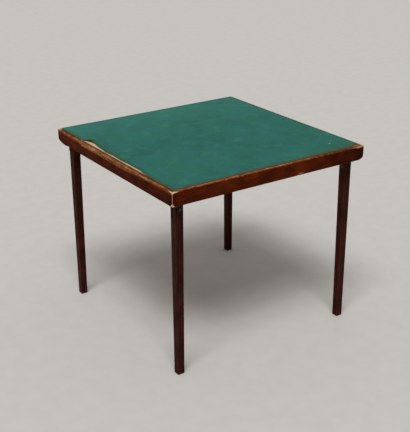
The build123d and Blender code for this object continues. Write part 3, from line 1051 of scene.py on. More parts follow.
@dataclass
class Legs:
    """The four square legs: half-round heads, straight beside the plates, tapered to the feet."""

    width: float = 30.5 * MM
    inset: float = 30 * MM
    foot_width: float = 25.6 * MM
    foot_inset: float = 30.8 * MM
    arris: float = 1.5 * MM
    sole_arris: float = 1.5 * MM
    pivot_level: float = 670 * MM
    shoulder_level: float = 600 * MM
    # Between these heights dents and wear end, so that the head stays flat between its plates
    plates_run: tuple = (600 * MM, 612 * MM)
    pivot_reach: float = 45.25 * MM
    bolt_drop: float = 51 * MM
    bolt_radius: float = 3.1 * MM
    pivot_radius: float = 3.6 * MM
    station_step: float = 3.0 * MM
    outline_step: float = 2.2 * MM
    # Heights of the sections at the sole, in millimetres, and the turns of those round the head, in degrees
    sole_levels: tuple = (0.0, 0.25, 0.7, 1.5, 2.6)
    first_level: float = 4 * MM
    head_turns: tuple = (12, 24, 36, 48, 60, 70, 78, 84)
    head_pinch: float = 0.08
    dent_depth: float = 1.6 * MM
    rubbed_depth: float = 0.25 * MM
    # The leg that is darkened with painted shade, and how strongly
    painted_shade_leg: Corner = Corner.BACK_RIGHT
    painted_leg_shade: float = 0.6
    # Metres between the grain of one leg and the next
    grain_shift: float = 0.9

    def __post_init__(self) -> None:
        """Takes the table's half side from the frame and makes the finish."""
        self.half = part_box("rail_front")[1].x
        self.finish = PolishedWood("stained_beech_dark_leg", polish="#3b1a16", shade="#241010",
                                   glow="#54251b", thinned="#5c3122", bare="#7d543b", pale="#a58766",
                                   worn_share=0.6, roughness=0.45, reflection=0.04).material()

    def levels(self) -> np.ndarray:
        """Heights of the leg's sections below the pivot, from the sole up, closer at the sole."""
        count = round(self.pivot_level / self.station_step)
        rising = np.linspace(self.first_level, self.pivot_level, count)
        return np.concatenate([np.array(self.sole_levels) * MM, rising])

    def rings(self, outline: np.ndarray) -> list[np.ndarray]:
        """The leg's sections: tapered squares from the sole up, then narrowing ones round the head.

        Args:
            outline: points round the square at the leg's full width.

        Returns:
            The points of each section.
        """
        unit = self.width / 2
        rings = []
        for level in self.levels():
            share = min(level / self.shoulder_level, 1.0)
            width = self.foot_width + (self.width - self.foot_width) * share
            inset = self.foot_inset + (self.inset - self.foot_inset) * share
            round_off = self.sole_arris * (1 - min(level / self.sole_arris, 1.0)) ** 2
            scale = (width / 2 - round_off) / unit
            middle = inset + width / 2 - self.half
            rings.append(np.column_stack([outline * scale + middle, np.full(len(outline), level)]))
        for angle in np.radians(self.head_turns):
            middle = self.pivot_reach - self.half
            pinch = 1 - self.head_pinch * ease(angle, 0.9, QUARTER_TURN)
            plan = outline * np.array((math.cos(angle), pinch)) + middle
            level = self.pivot_level + unit * math.sin(angle)
            rings.append(np.column_stack([plan, np.full(len(outline), level)]))
        return rings

    def worn(self, points: np.ndarray, corner_gap: np.ndarray,
             corner: Corner) -> tuple[np.ndarray, np.ndarray]:
        """The wear of a leg, along its arrises and round its foot.

        Args:
            points: the leg's points.
            corner_gap: distance of each from the nearest arris.
            corner: which leg.

        Returns:
            The wear field of each point, and how far it is sunk.
        """
        level = points[:, 2]
        line = points + np.array((corner.value, 0, 0))
        slow = wander(line * np.array((1, 1, 0.4)), 40 * MM, 2.0 + corner.value)
        quick = wander(line, 7 * MM, 4.0 + corner.value)
        reach = np.maximum((1.0 + 1.2 * slow + 0.5 * quick) * MM, 0.2 * MM)
        field = np.maximum(corner_gap - 0.3 * MM, 0) / reach + 0.25
        field = np.minimum(field, 0.3 + level / ((7 + 5 * slow) * MM))
        dents = np.maximum(wander(line, 12 * MM, 6.0 + corner.value) - 0.5, 0) * self.dent_depth
        sunk = dents * ease(level, 0, 5 * MM) + (1 - np.minimum(field, 1)) * self.rubbed_depth * (1 + quick)
        return field, sunk * (1 - ease(level, *self.plates_run))

    def leg(self, corner: Corner) -> bpy.types.Object:
        """One leg as a dense mesh of square sections with rounded arrises.

        Args:
            corner: which leg.

        Returns:
            The leg, in the scene.
        """
        unit = self.width / 2
        square = [(x * unit, y * unit, self.arris) for x, y in ((-1, -1), (1, -1), (1, 1), (-1, 1))]
        outline = rounded_outline(square, self.outline_step, arc_steps=4)
        rings = self.rings(outline)
        points = np.concatenate(rings)
        corner_gap = np.tile(unit - np.abs(outline).min(axis=1), len(rings))
        field, sunk = self.worn(points, corner_gap, corner)
        share = np.minimum(points[:, 2] / self.shoulder_level, 1.0)
        axis = (self.foot_inset + self.foot_width / 2) * (1 - share) + self.pivot_reach * share - self.half
        away = points[:, :2] - axis[:, None]
        away /= np.maximum(np.linalg.norm(away, axis=1)[:, None], TINY)
        points[:, :2] -= away * sunk[:, None]
        middle = points[:, :2].mean(axis=0)
        grain = np.column_stack([points[:, 2] + self.grain_shift * corner.value, points[:, :2] - middle])
        # Painted shade on one leg, carried by the grime field
        painted_leg_shade = np.full(len(points), self.painted_leg_shade if corner is self.painted_shade_leg else 0.0)
        made = piece_from("leg_" + corner.label + "_worn", turned(points, corner.value),
                          tube_faces(len(rings), len(outline)),
                          {"grain": grain, "wear": np.minimum(field, UNWORN), "grime": painted_leg_shade})
        return self.bored(made, corner)

    def bored(self, leg: bpy.types.Object, corner: Corner) -> bpy.types.Object:
        """Cuts the holes for the pivot bolt and the cross bolt through the head.

        Args:
            leg: the whole leg.
            corner: which leg it is.

        Returns:
            The same leg with its holes.
        """
        work = bmesh.new()
        middle = self.pivot_reach - self.half
        for drop, radius in ((0.0, self.pivot_radius), (self.bolt_drop, self.bolt_radius)):
            place = Vector((middle, middle, self.pivot_level - drop))
            matrix = (Matrix.Rotation(corner.value * QUARTER_TURN, 4, "Z") @ Matrix.Translation(place)
                      @ Matrix.Rotation(QUARTER_TURN, 4, "X"))
            bmesh.ops.create_cone(work, cap_ends=True, segments=24, radius1=radius, radius2=radius,
                                  depth=2 * self.width, matrix=matrix)
        mesh = bpy.data.meshes.new("bores")
        work.to_mesh(mesh)
        work.free()
        bores = in_scene("bores", mesh)
        cut = leg.modifiers.new("bores", "BOOLEAN")
        cut.operation, cut.object, cut.solver = "DIFFERENCE", bores, "EXACT"
        leg = plain_mesh(leg)
        bpy.data.objects.remove(bores)
        return leg

    def build(self) -> None:
        """Makes, dresses and places the four legs."""
        for corner in Corner:
            node = "leg_" + corner.label
            place_piece(self.leg(corner), node, "leg_wood", self.finish, node)


@dataclass
class Baize:
    """The cloth over the panel: turned down at its edges, torn along the left and lifted in one place.

    It is pulled in at the front right corner and creased near the back right one.
    """

    thickness: float = 0.9 * MM
    skirt_foot: float = 694.5 * MM
    corner_radius: float = 6 * MM
    edge_roll: float = 2.2 * MM
    tear_depth: float = 20 * MM
    flap_lift: float = 3.6 * MM
    flap_middle: float = 196 * MM
    flap_width: float = 26 * MM
    flap_back_width: float = 12 * MM
    flap_depth: float = 4 * MM
    notch_middle: float = 221 * MM
    notch_depth: float = 4 * MM
    corner_pull: float = 13 * MM
    corner_pull_width: float = 22 * MM
    crease_place: tuple = (0.3, 0.337)
    crease_length: float = 17 * MM
    crease_width: float = 3.5 * MM
    crease_dip: float = 0.7 * MM
    # The crease's raised side: how far behind its middle it lies, how long and how high it is
    pucker_gap: float = 5 * MM
    pucker_length: float = 18 * MM
    pucker_rise: float = 0.9 * MM
    coarse_step: float = 5.0 * MM
    fine_step: float = 1.1 * MM
    grid_step: float = 11 * MM
    row_offsets: tuple = (0.0, 0.12, 0.35, 0.7, 1.1, 1.8, 3.0, 4.6, 6.8, 9.8, 14.0, 20.0, 28.0, 38.0)
    # Run along the side from its back end, and depth, as shares of the side and of the tear's depth
    tear_shares = (
        (0.199, 0.00), (0.222, 0.08), (0.238, 0.30), (0.250, 0.68), (0.264, 0.83), (0.293, 0.86),
        (0.312, 0.83), (0.331, 0.76), (0.368, 0.68), (0.406, 0.60), (0.425, 0.47), (0.447, 0.60),
        (0.469, 0.66), (0.500, 0.56), (0.525, 0.46), (0.550, 0.28), (0.573, 0.48), (0.625, 0.50),
        (0.675, 0.45), (0.726, 0.38), (0.757, 0.18), (0.801, 0.00),
    )
    # How far in from the rail's wall the pale film shows, by place along the left side, both in millimetres
    film_reach = (
        (-229, 0.5), (-200, 3.5), (-180, 6.0), (-100, 5.5), (-60, 3.0), (-20, 4.5), (0, 5.5), (45, 1.5),
        (75, 5.0), (105, 7.0), (130, 10.0), (150, 14.0), (170, 14.5), (180, 12.5), (190, 9.5), (200, 5.5),
        (210, 0.0),
    )
    # The film: where it runs along the left side, how far in it reaches and how much further under the flap,
    # the spacing of its points and its thickness
    film_run: tuple = (-0.235, 0.262)
    film_width: float = 24 * MM
    film_flap_width: float = 20 * MM
    film_step: float = 1.3 * MM
    film_thickness: float = 0.25 * MM

    def __post_init__(self) -> None:
        """Takes the outer sizes from the frame and makes the finishes."""
        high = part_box("baize")[1]
        self.half, self.top = high.y, high.z
        self.panel_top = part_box("top_panel")[1].z
        self.finish = WoolBaize().material()
        self.film_finish = GlueFilm().material()

    def tear_inset(self, back_gap: np.ndarray) -> np.ndarray:
        """Depth of the tear.

        Args:
            back_gap: distance along the left side from its back end.

        Returns:
            How far the edge has gone in at each.
        """
        runs = [run * 2 * self.half for run, _ in self.tear_shares]
        depths = [depth * self.tear_depth for _, depth in self.tear_shares]
        return np.interp(back_gap, runs, depths, left=0.0, right=0.0)

    def perimeter(self) -> tuple[np.ndarray, np.ndarray, np.ndarray, np.ndarray]:
        """Points round the whole cloth with what each needs.

        Returns:
            Places in plan, inward directions, how far the edge has gone in, and the ragged part of that.
        """
        radius = self.corner_radius
        straight = self.half - radius
        places, inwards = [], []
        for side in Side:
            spacing = self.fine_step if side is Side.LEFT else self.coarse_step
            run = np.linspace(-straight, straight, round(2 * straight / spacing))
            edge = np.column_stack([run, np.full(len(run), -self.half)])
            turn = np.linspace(0, QUARTER_TURN, 7)[1:-1]
            bend = np.column_stack([straight + radius * np.sin(turn), -straight - radius * np.cos(turn)])
            normal = np.concatenate([np.tile((0.0, 1.0), (len(run), 1)),
                                     np.column_stack([-np.sin(turn), np.cos(turn)])])
            matrix = np.array(Matrix.Rotation(side.value * QUARTER_TURN, 2)).T
            places.append(np.concatenate([edge, bend]) @ matrix)
            inwards.append(normal @ matrix)
        places, inwards = np.concatenate(places), np.concatenate(inwards)
        flat = laid_flat(places)
        on_left = (places[:, 0] < -self.half + 0.5 * MM).astype(float)
        on_right = (places[:, 0] > self.half - 0.5 * MM).astype(float)
        inset = on_left * self.tear_inset(self.half - places[:, 1])
        inset += on_left * self.flap_depth * self.flap_share(places[:, 1])
        inset += on_right * self.notch_depth * hump(places[:, 1], self.notch_middle, 3.5 * MM)
        inset += self.corner_pull * hump(self.from_right_corner(places), 0.0, self.corner_pull_width)
        inset += 0.25 * MM * (1 + wander(flat, 23 * MM, 2.0))
        frayed = 1.1 * MM * wander(flat, 7 * MM, 4.0) + 0.7 * MM * wander(flat, 2.2 * MM, 6.0)
        return places, inwards, inset, ease(inset, 1 * MM, 5 * MM) * frayed

    def flap_share(self, along_left: np.ndarray) -> np.ndarray:
        """The lifted flap: 1 at its middle, falling quickly to the back and slowly to the front.

        Args:
            along_left: place along the left side, positive towards the back.

        Returns:
            From 0 to 1 at each.
        """
        width = np.where(along_left < self.flap_middle, self.flap_width, self.flap_back_width)
        return hump(along_left, self.flap_middle, width)

    def from_right_corner(self, places: np.ndarray) -> np.ndarray:
        """Distance in plan from the cloth's front right corner."""
        return np.hypot(places[:, 0] - self.half, places[:, 1] + self.half)

    def crease_axes(self, places: np.ndarray) -> tuple[np.ndarray, np.ndarray]:
        """Distances along and across the slanting crease in front of the back right corner."""
        x, y = places[:, 0] - self.crease_place[0], places[:, 1] - self.crease_place[1]
        return (x - y) / math.sqrt(2), (x + y) / math.sqrt(2)

    def creased(self, places: np.ndarray) -> np.ndarray:
        """The crease: 1 in its middle, 0 away from it."""
        along, across = self.crease_axes(places)
        return hump(across, 0.0, self.crease_width) * hump(along, 0.0, self.crease_length)

    def height(self, places: np.ndarray, gap: np.ndarray, torn: np.ndarray) -> np.ndarray:
        """Height of the cloth's upper face.

        Args:
            places: places in plan.
            gap: distance of each from the cloth's edge.
            torn: 1 where that edge is torn and 0 where it turns down.

        Returns:
            The height of each place.
        """
        flat = laid_flat(places)
        level = self.top + 0.16 * MM * (1 + wander(flat, 95 * MM, 1.0))
        level += 0.06 * MM * wander(flat, 24 * MM, 3.0)
        roll = np.clip(1 - gap / self.edge_roll, 0, 1)
        level -= (1 - torn) * self.edge_roll * (1 - np.sqrt(1 - roll * roll))
        curl = np.exp(-gap / (4 * MM)) * (0.3 + 0.5 * wander(flat, 11 * MM, 5.0)) * MM
        level += torn * curl
        rise = self.flap_share(places[:, 1]) * (1 - ease(gap, 0.0, 42 * MM))
        level += torn * self.flap_lift * rise
        along, across = self.crease_axes(places)
        pucker = hump(across, self.pucker_gap, self.crease_width) * hump(along, 0.0, self.pucker_length)
        return level - self.crease_dip * self.creased(places) + self.pucker_rise * pucker

    def inner_grid(self) -> np.ndarray:
        """Places inside the edge's rows: an even grid, and a finer one that slants with the crease."""
        reach = self.half - self.row_offsets[-1] * MM
        line = np.linspace(-1, 1, round(2 * reach / self.grid_step))[1:-1] * reach
        grid = np.array([(x, y) for x in line for y in line])
        # Steps of 2 mm along the crease and of 1 mm across it
        slant = np.array([(along + across, across - along)
                          for along in range(-34, 35, 2) for across in range(-9, 13)])
        crease = np.array(self.crease_place) + slant * MM / math.sqrt(2)
        along, across = self.crease_axes(grid)
        clear = (np.abs(along) > 36 * MM) | (np.abs(across - 2.5 * MM) > 12.5 * MM)
        return np.concatenate([grid[clear], crease[crease.max(axis=1) < reach - 1 * MM]])

    def cloth(self) -> bpy.types.Object:
        """The cloth as one sheet with its own thickness."""
        places, inwards, inset, ragged = self.perimeter()
        loose = (places[:, 0] < 0) | (self.from_right_corner(places) < 3 * self.corner_pull_width)
        torn_edge = ease(inset, 1 * MM, 3.5 * MM) * loose
        rows, gaps, torn = [], [], []
        for offset in self.row_offsets:
            gap = offset * MM
            settle = 1 - ease(gap, 12 * MM, 45 * MM)
            depth = inset * settle + ragged * math.exp(-gap / (3 * MM)) + gap
            rows.append(places + inwards * depth[:, None])
            gaps.append(np.full(len(places), gap))
            torn.append(torn_edge)
        grid = self.inner_grid()
        flat = np.concatenate([*rows, grid])
        gap = np.concatenate([*gaps, self.half - np.abs(grid).max(axis=1)])
        weight = np.concatenate([*torn, np.zeros(len(grid))])
        around = len(places)
        found = delaunay_2d_cdt([Vector(place) for place in flat], [], [list(range(around))], 1, 1e-7)
        faces = found[2]
        source = np.array([numbers[0] if numbers else 0 for numbers in found[3]])
        plan = np.array([tuple(point) for point in found[0]])
        gap, weight = gap[source], weight[source]
        points = np.column_stack([plan, self.height(plan, gap, weight)])
        new_of = {old: new for new, old in enumerate(source)}
        rim = [new_of[index] for index in range(around)]
        skirt, faces = self.skirt(points, rim, torn_edge, faces)
        points = np.concatenate([points, skirt])
        gap = np.concatenate([gap, np.zeros(len(skirt))])
        made = piece_from("baize_cloth", points, faces, {"from_edge": gap, "sunk": self.creased(points)})
        return thickened(made, self.thickness)

    def skirt(self, points: np.ndarray, rim: list[int], torn: np.ndarray,
              faces: list) -> tuple[np.ndarray, list]:
        """The edge of the cloth that is turned down into the rebate, where it hasn't torn away.

        Args:
            points: the flat part's points.
            rim: numbers of the points round its edge.
            torn: 1 at each rim point whose edge is torn.
            faces: the flat part's faces.

        Returns:
            The skirt's own points, and all faces.
        """
        edge = points[rim]
        levels = 3
        rows = []
        for step in range(1, levels + 1):
            foot = self.skirt_foot + (edge[:, 2] - self.skirt_foot) * torn
            row = edge.copy()
            row[:, 2] = edge[:, 2] + (foot - edge[:, 2]) * step / levels
            rows.append(row)
        start, around = len(points), len(rim)
        faces = [tuple(face) for face in faces]
        for spot in range(around):
            following = (spot + 1) % around
            if torn[spot] > 0.95 and torn[following] > 0.95:
                continue
            above = (rim[spot], rim[following])
            for step in range(levels):
                below = (start + step * around + spot, start + step * around + following)
                faces.append((above[0], above[1], below[1], below[0]))
                above = below
        used = sorted({index for face in faces for index in face if index >= start})
        renumber = {old: start + new for new, old in enumerate(used)}
        faces = [tuple(renumber.get(index, index) for index in face) for face in faces]
        return np.concatenate(rows)[[index - start for index in used]], faces

    def glue_film(self) -> bpy.types.Object:
        """What is left on the panel where the cloth has gone: a thin film with a ragged outer edge."""
        run = np.arange(*self.film_run, self.film_step)
        line = np.column_stack([run, np.zeros(len(run)), np.zeros(len(run))])
        outer = -self.half + (1.1 + 0.6 * wander(line, 8 * MM, 1.0) + 0.4 * wander(line, 2.5 * MM, 2.0)) * MM
        inner = outer + self.film_width + self.film_flap_width * hump(run, self.flap_middle, self.flap_width)
        shares = np.linspace(0, 1, 20)
        rows = [np.column_stack([outer + (inner - outer) * share, run]) for share in shares]
        plan = np.concatenate(rows)
        flat = laid_flat(plan)
        edge_in = np.concatenate([np.full(len(run), share) for share in shares])
        bumps = 0.22 + 0.14 * wander(flat, 5 * MM, 3.0) + 0.06 * wander(flat, 1.8 * MM, 4.0)
        swell = ease(edge_in, 0, 0.08) * bumps
        level = self.panel_top + (0.03 + np.maximum(swell, 0)) * MM
        from_rim, along = plan[:, 0] + self.half, plan[:, 1]
        known, far = np.array(self.film_reach).T * MM
        reach = np.interp(along, known, far)
        reach += 0.8 * MM * wander(flat, 5 * MM, 6.0)
        # Green fuzz with painted shade along the cloth's torn edge
        green_fuzz_and_edge_shade = ease(from_rim, reach - 1 * MM, reach + 1.5 * MM)
        # Painted shadow, with dark glue, under the lifted flap
        dark = ease(from_rim, reach - 2 * MM, reach + 2.5 * MM)
        dark *= hump(along, self.flap_middle - 6 * MM, 20 * MM)
        fluff_start = 0.3 * MM + 0.5 * MM * wander(flat, 6 * MM, 5.0)
        bare = 1 - ease(from_rim, fluff_start, fluff_start + 1.2 * MM)
        fresh = ease(along, 0.1, 0.17)
        count = len(run)
        faces = [(spot, spot + 1, spot + count + 1, spot + count)
                 for row in range(len(shares) - 1) for spot in range(row * count, (row + 1) * count - 1)]
        made = piece_from("glue_film_left", np.column_stack([plan, level]), faces,
                          {"dark": dark, "green_fuzz_and_edge_shade": green_fuzz_and_edge_shade, "bare": bare, "fresh": fresh})
        return thickened(made, self.film_thickness)

    def build(self) -> None:
        """Makes, dresses and places the cloth, the glue film and the frayed threads."""
        cloth = self.cloth()
        place_piece(cloth, TOP, "baize_cloth", self.finish, "baize")
        place_piece(self.glue_film(), TOP, "baize_cloth", self.film_finish)
        threads = FrayedThreads(self).piece()
        place_piece(threads, TOP, "baize_cloth", self.finish)


class GeometryRecipe:
    """A geometry node group in the making, with its named inputs."""

    def __init__(self, name: str, **inputs: float | int | bpy.types.Material) -> None:
        """Starts the group.

        Args:
            name: the group's name.
            inputs: each input's name, with low lines for spaces, and its value.
        """
        self.values = {key.replace("_", " "): value for key, value in inputs.items()}
        self.tree = bpy.data.node_groups.new(name, "GeometryNodeTree")
        self.tree.interface.new_socket("Geometry", in_out="INPUT", socket_type="NodeSocketGeometry")
        kinds = {float: "NodeSocketFloat", int: "NodeSocketInt", bpy.types.Material: "NodeSocketMaterial"}
        for label, value in self.values.items():
            self.tree.interface.new_socket(label, in_out="INPUT", socket_type=kinds[type(value)])
        self.tree.interface.new_socket("Geometry", in_out="OUTPUT", socket_type="NodeSocketGeometry")
        self.given = self.tree.nodes.new("NodeGroupInput").outputs

    def run(self, piece: bpy.types.Object, instances: Feed) -> bpy.types.Object:
        """Ends the group in real, dressed geometry and applies it to a piece.

        Args:
            piece: the object whose mesh the group starts from.
            instances: the geometry to make real.

        Returns:
            The piece, now a plain mesh.
        """
        real = add(self.tree, "GeometryNodeRealizeInstances", {"Geometry": instances})
        dressed = add(self.tree, "GeometryNodeSetMaterial",
                      {"Geometry": real, "Material": self.given["Material"]})
        add(self.tree, "NodeGroupOutput", {"Geometry": dressed})
        modifier = piece.modifiers.new(self.tree.name, "NODES")
        modifier.node_group = self.tree
        for item in self.tree.interface.items_tree:
            if item.in_out == "INPUT" and item.name in self.values:
                modifier[item.identifier] = self.values[item.name]
        return plain_mesh(piece)


@dataclass
class FrayedThreads:
    """Short loose threads along the torn edge of the baize."""

    baize: Baize
    spacing: float = 1.5 * MM
    length: float = 4.2 * MM
    radius: float = 0.11 * MM
    seed: int = 5

    def piece(self) -> bpy.types.Object:
        """The threads as one mesh: bent strands that point outwards, each with its own length and lean."""
        places, inwards, inset, ragged = self.baize.perimeter()
        torn = (inset > 3 * MM) & (places[:, 0] < 0)
        line = (places + inwards * (inset + ragged + 0.3 * MM)[:, None])[torn]
        level = self.baize.height(line, np.full(len(line), 0.3 * MM), np.ones(len(line))) - 0.45 * MM
        mesh = bpy.data.meshes.new("frayed_threads")
        edges = [(spot, spot + 1) for spot in range(len(line) - 1)]
        mesh.from_pydata(np.column_stack([line, level]).tolist(), edges, [])
        piece = in_scene("frayed_threads", mesh)
        recipe = GeometryRecipe("fray", Spacing=self.spacing, Thread_Length=self.length,
                                Thread_Radius=self.radius, Seed=self.seed, Material=self.baize.finish)
        tree, given = recipe.tree, recipe.given
        path = add(tree, "GeometryNodeMeshToCurve", {"Mesh": given["Geometry"]})
        spots = add(tree, "GeometryNodeCurveToPoints", {"Curve": path, "Length": given["Spacing"]},
                    mode="LENGTH")
        half, bow, sag = (
            add(tree, "ShaderNodeMath", {0: given["Thread Length"], 1: share}, operation="MULTIPLY")
            for share in (0.5, 0.22, -0.12))
        bend = add(tree, "ShaderNodeCombineXYZ", {"X": half, "Y": bow, "Z": sag})
        tip = add(tree, "ShaderNodeCombineXYZ", {"X": given["Thread Length"], "Z": sag})
        strand = add(tree, "GeometryNodeCurveQuadraticBezier",
                     {"Resolution": 4, "Start": (0.0, 0.0, 0.0), "Middle": bend,
                      "End": tip})
        ring = add(tree, "GeometryNodeCurvePrimitiveCircle",
                   {"Resolution": 4, "Radius": given["Thread Radius"]})
        thread = add(tree, "GeometryNodeCurveToMesh",
                     {"Curve": strand, "Profile Curve": ring, "Fill Caps": True})
        lean = add(tree, "FunctionNodeRandomValue",
                   {"Min": (-0.5, -0.15, math.pi - 0.9), "Max": (0.5, 0.35, math.pi + 0.9),
                    "Seed": given["Seed"]},
                   data_type="FLOAT_VECTOR")
        next_seed = add(tree, "ShaderNodeMath", {0: given["Seed"], 1: 1.0}, operation="ADD")
        size = add(tree, "FunctionNodeRandomValue", {2: 0.25, 3: 1.35, "Seed": next_seed},
                   data_type="FLOAT")
        placed = add(tree, "GeometryNodeInstanceOnPoints",
                     {"Points": spots, "Instance": thread,
                      "Rotation": lean, "Scale": size.outputs[1]})
        return recipe.run(piece, placed)


@dataclass
class SlottedScrews:
    """The sixteen slotted wood screws that hold the corner brackets."""

    finish: bpy.types.Material
    face: float = 24 * MM
    level: float = 670 * MM
    rise: float = 9 * MM
    side_reach: float = 60 * MM
    end_depths: tuple = (36 * MM, 54 * MM)
    head_radius: float = 3.6 * MM
    head_height: float = 1.5 * MM
    slot_width: float = 0.9 * MM
    slot_depth: float = 0.8 * MM
    shank_radius: float = 1.8 * MM
    shank_length: float = 14 * MM
    seed: int = 31

    def piece(self) -> bpy.types.Object:
        """All the screws as one mesh, each with its slot turned its own way."""
        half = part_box("rail_front")[1].x
        draw = random.Random(self.seed)
        spots, facings, spins = [], [], []
        for corner in Corner:
            places = [((self.side_reach, self.face, self.level + lift), (0.0, 1.0, 0.0))
                      for lift in (-self.rise, self.rise)]
            places += [((self.face, depth, self.level), (1.0, 0.0, 0.0)) for depth in self.end_depths]
            for place, facing in places:
                spots.append(turned(np.array([place]) - np.array((half, half, 0.0)), corner.value)[0])
                facings.append(turned(np.array([facing]), corner.value)[0])
                spins.append(draw.uniform(0, math.pi))
        mesh = bpy.data.meshes.new("slotted_screws")
        mesh.from_pydata([tuple(spot) for spot in spots], [], [])
        mark(mesh, "facing", np.array(facings))
        mark(mesh, "spin", np.array(spins))
        piece = in_scene("slotted_screws", mesh)
        recipe = GeometryRecipe(
            "slotted screw", Head_Radius=self.head_radius, Head_Height=self.head_height,
            Slot_Width=self.slot_width, Slot_Depth=self.slot_depth, Shank_Radius=self.shank_radius,
            Shank_Length=self.shank_length, Material=self.finish)
        tree, given = recipe.tree, recipe.given
        crown, slot_run, slot_high, half_down = (
            add(tree, "ShaderNodeMath", {0: given[size], 1: share}, operation="MULTIPLY")
            for size, share in (("Head Radius", 0.66), ("Head Radius", 2.4), ("Slot Depth", 2.0),
                                ("Shank Length", -0.5)))
        head = add(tree, "GeometryNodeMeshCone",
                   {"Vertices": 24, "Radius Top": crown, "Radius Bottom": given["Head Radius"],
                    "Depth": given["Head Height"]})
        slot_size = add(tree, "ShaderNodeCombineXYZ",
                        {"X": slot_run, "Y": given["Slot Width"], "Z": slot_high})
        slot = add(tree, "GeometryNodeMeshCube", {"Size": slot_size})
        slot_rise = add(tree, "ShaderNodeCombineXYZ", {"Z": given["Head Height"]})
        lifted = add(tree, "GeometryNodeTransform",
                     {"Geometry": slot, "Translation": slot_rise})
        cut = add(tree, "GeometryNodeMeshBoolean", {"Mesh 1": head, "Mesh 2": lifted},
                  operation="DIFFERENCE")
        shank = add(tree, "GeometryNodeMeshCylinder",
                    {"Vertices": 16, "Radius": given["Shank Radius"], "Depth": given["Shank Length"]})
        shank_place = add(tree, "ShaderNodeCombineXYZ", {"Z": half_down})
        sunk = add(tree, "GeometryNodeTransform",
                   {"Geometry": shank, "Translation": shank_place})
        screw = tree.nodes.new("GeometryNodeJoinGeometry")
        for part in (cut.outputs["Mesh"], sunk.outputs["Geometry"]):
            tree.links.new(part, screw.inputs["Geometry"])
        facing = add(tree, "GeometryNodeInputNamedAttribute", {"Name": "facing"}, data_type="FLOAT_VECTOR")
        spin = add(tree, "GeometryNodeInputNamedAttribute", {"Name": "spin"}, data_type="FLOAT")
        aimed = add(tree, "FunctionNodeAlignRotationToVector", {"Vector": facing.outputs["Attribute"]},
                    axis="Z")
        about = add(tree, "ShaderNodeCombineXYZ", {"Z": spin.outputs["Attribute"]})
        turned_in = add(tree, "FunctionNodeRotateRotation",
                        {"Rotation": aimed, "Rotate By": about},
                        rotation_space="LOCAL")
        placed = add(tree, "GeometryNodeInstanceOnPoints",
                     {"Points": given["Geometry"], "Instance": screw,
                      "Rotation": turned_in})
        return recipe.run(piece, placed)


@dataclass
class Underframe:
    """What is under the baize: panel, bearers, glue blocks and batten."""

    arris: float = 0.6 * MM
    # Metres between the grain of one side's pieces and the next
    grain_shift: float = 1.3

    def build(self) -> None:
        """Softens, dresses and places the bare wooden pieces."""
        deal = Softwood().material()
        ply = Plywood(floor=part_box("top_panel")[0].z).material()
        place_piece(softened("top_panel", 0.4 * MM), TOP, "plywood", ply, "top_panel")
        blocks = [("bearer_" + side.label, side.value) for side in Side]
        blocks += [("glue_block_" + corner.label, corner.value + 1) for corner in Corner]
        for node, turns in (*blocks, ("panel_batten", 0)):
            place_piece(softened(node, self.arris, self.along(turns)), TOP, "bare_softwood", deal, node)

    def along(self, turns: int) -> Callable[[np.ndarray], np.ndarray]:
        """Makes the change from places to the grain of a piece that lies some quarter turns round.

        Args:
            turns: the piece's quarter turns.

        Returns:
            The change, for points one a row.
        """
        def to_grain(points: np.ndarray) -> np.ndarray:
            """Places with the grain along the first axis."""
            return turned(points, -turns) + np.array((self.grain_shift * turns, 0.0, 0.0))
        return to_grain


@dataclass
class Ironwork:
    """Plates, bolts, brackets and stays."""

    arris: float = 0.25 * MM

    def build(self) -> None:
        """Softens, dresses and places the steel pieces of each corner."""
        black = Steel("blackened_steel_plate", "#241f1c", "#3d3632", roughness=0.55).material()
        oiled = Steel("oiled_steel_stay", "#443d38", "#6c655f", roughness=0.45).material()
        dull = Steel("tarnished_steel_bolt", "#3a322e", "#5a504a", roughness=0.5).material()
        for corner in Corner:
            leg, lower, upper = (name + "_" + corner.label for name in ("leg", "stay_lower", "stay_upper"))
            group = (
                ("leg_plate_outer", leg, "leg_plate_steel", black),
                ("leg_plate_inner", leg, "leg_plate_steel", black),
                ("cross_bolt", leg, "bolt_steel", dull),
                ("corner_bracket", TOP, "bracket_steel", black),
                ("pivot_bolt", TOP, "fastener_steel", dull),
                ("stay_lower", lower, "stay_steel", oiled),
                ("stay_upper", upper, "stay_steel", oiled),
                ("knuckle_rivet", upper, "fastener_steel", dull),
            )
            for name, body, slot, finish in group:
                node = name + "_" + corner.label
                place_piece(softened(node, self.arris), body, slot, finish, node)
        for node in ("pivot_spacers", "pivot_nuts", "stay_studs"):
            place_piece(softened(node, self.arris), TOP, "fastener_steel", dull, node)
        place_piece(SlottedScrews(dull).piece(), TOP, "fastener_steel", dull, "bracket_screws")


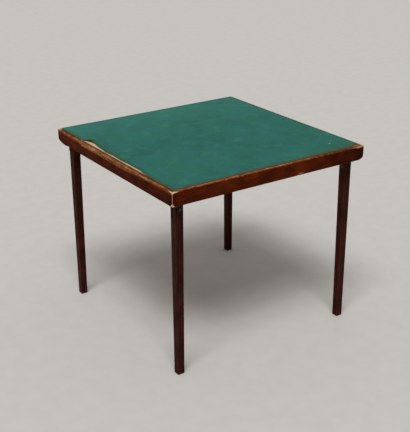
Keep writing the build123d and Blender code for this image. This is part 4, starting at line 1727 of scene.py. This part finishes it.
@dataclass
class Studio:
    """Pale floor, soft light and the camera at the photograph's angle."""

    location: tuple = (-1.7797, -2.6116, 1.7094)
    azimuth: float = -34.1638
    elevation: float = 22.8475
    roll: float = -0.2433
    focal_length: float = 74.294
    sensor: float = 36.0
    floor_reach: float = 14.0
    floor_colour: str = "#cfccc8"
    scuffed_colour: str = "#c9c6c2"
    backdrop_colour: str = "#d9d6d2"
    backdrop_strength: float = 0.55
    lamp_softness: float = 18.0
    # Azimuth and elevation in degrees, and strength in watts per square metre, of each lamp
    lamps: tuple = (("left_lamp", -58.0, 62.0, 0.98), ("right_lamp", -26.0, 60.0, 0.98))

    @staticmethod
    def towards(azimuth: float, elevation: float) -> Vector:
        """The direction of a place seen from the table: azimuth from the front in degrees, and elevation."""
        turn, lift = math.radians(azimuth), math.radians(elevation)
        return Vector((math.sin(turn) * math.cos(lift), -math.cos(turn) * math.cos(lift), math.sin(lift)))

    def camera(self) -> None:
        """Places the camera where the photograph was taken from."""
        tilt = math.radians(self.roll)
        back = self.towards(self.azimuth, self.elevation)
        right = (-back).cross(Vector((0, 0, 1))).normalized()
        up = right.cross(-back)
        across = math.cos(tilt) * right + math.sin(tilt) * up
        upright = -math.sin(tilt) * right + math.cos(tilt) * up
        data = bpy.data.cameras.new("camera")
        data.lens, data.sensor_width = self.focal_length, self.sensor
        camera = in_scene("camera", data)
        axes = Matrix((across, upright, back)).transposed().to_4x4()
        camera.matrix_world = Matrix.Translation(self.location) @ axes
        bpy.context.scene.camera = camera

    def floor(self) -> None:
        """A plain pale floor."""
        surface = Surface("matt_pale_floor_paint", Specular_IOR_Level=0.2)
        mottle = surface.patches(60 * MM, 0.3, 0.7, detail=2.0)
        colour = surface.coat(self.floor_colour, self.scuffed_colour, mottle, 0.5)
        finish = surface.finish(colour, surface.total((mottle, 0.05), base=0.8), mottle, 0.01 * MM)
        work = bmesh.new()
        bmesh.ops.create_grid(work, x_segments=1, y_segments=1, size=self.floor_reach)
        mesh = bpy.data.meshes.new("floor")
        work.to_mesh(mesh)
        work.free()
        mesh.materials.append(finish)
        floor = in_scene("floor", mesh)

    def lights(self) -> None:
        """Two broad soft lamps high in front, as the photograph's shadows show, and a pale world."""
        for name, azimuth, elevation, strength in self.lamps:
            data = bpy.data.lights.new(name, "SUN")
            data.angle, data.energy = math.radians(self.lamp_softness), strength
            aim = -self.towards(azimuth, elevation)
            in_scene(name, data).matrix_world = aim.to_track_quat("-Z", "Y").to_matrix().to_4x4()
        world = bpy.data.worlds.new("studio")
        world.use_nodes = True
        back = world.node_tree.nodes["Background"]
        back.inputs["Color"].default_value = linear(self.backdrop_colour)
        back.inputs["Strength"].default_value = self.backdrop_strength
        bpy.context.scene.world = world

    def build(self) -> None:
        """Sets the studio up."""
        bpy.context.scene.view_settings.view_transform = "Standard"
        self.camera()
        self.floor()
        self.lights()


def main() -> None:
    """Builds the studio and then the table, one sub-assembly after another."""
    logging.basicConfig(level=logging.INFO, format="%(name)s: %(message)s")
    for assembly in (Studio(), TopFrame(), Baize(), Legs(), Underframe(), Ironwork()):
        assembly.build()
        log.info("%s is built", type(assembly).__name__)


if __name__ == "__main__":
    main()
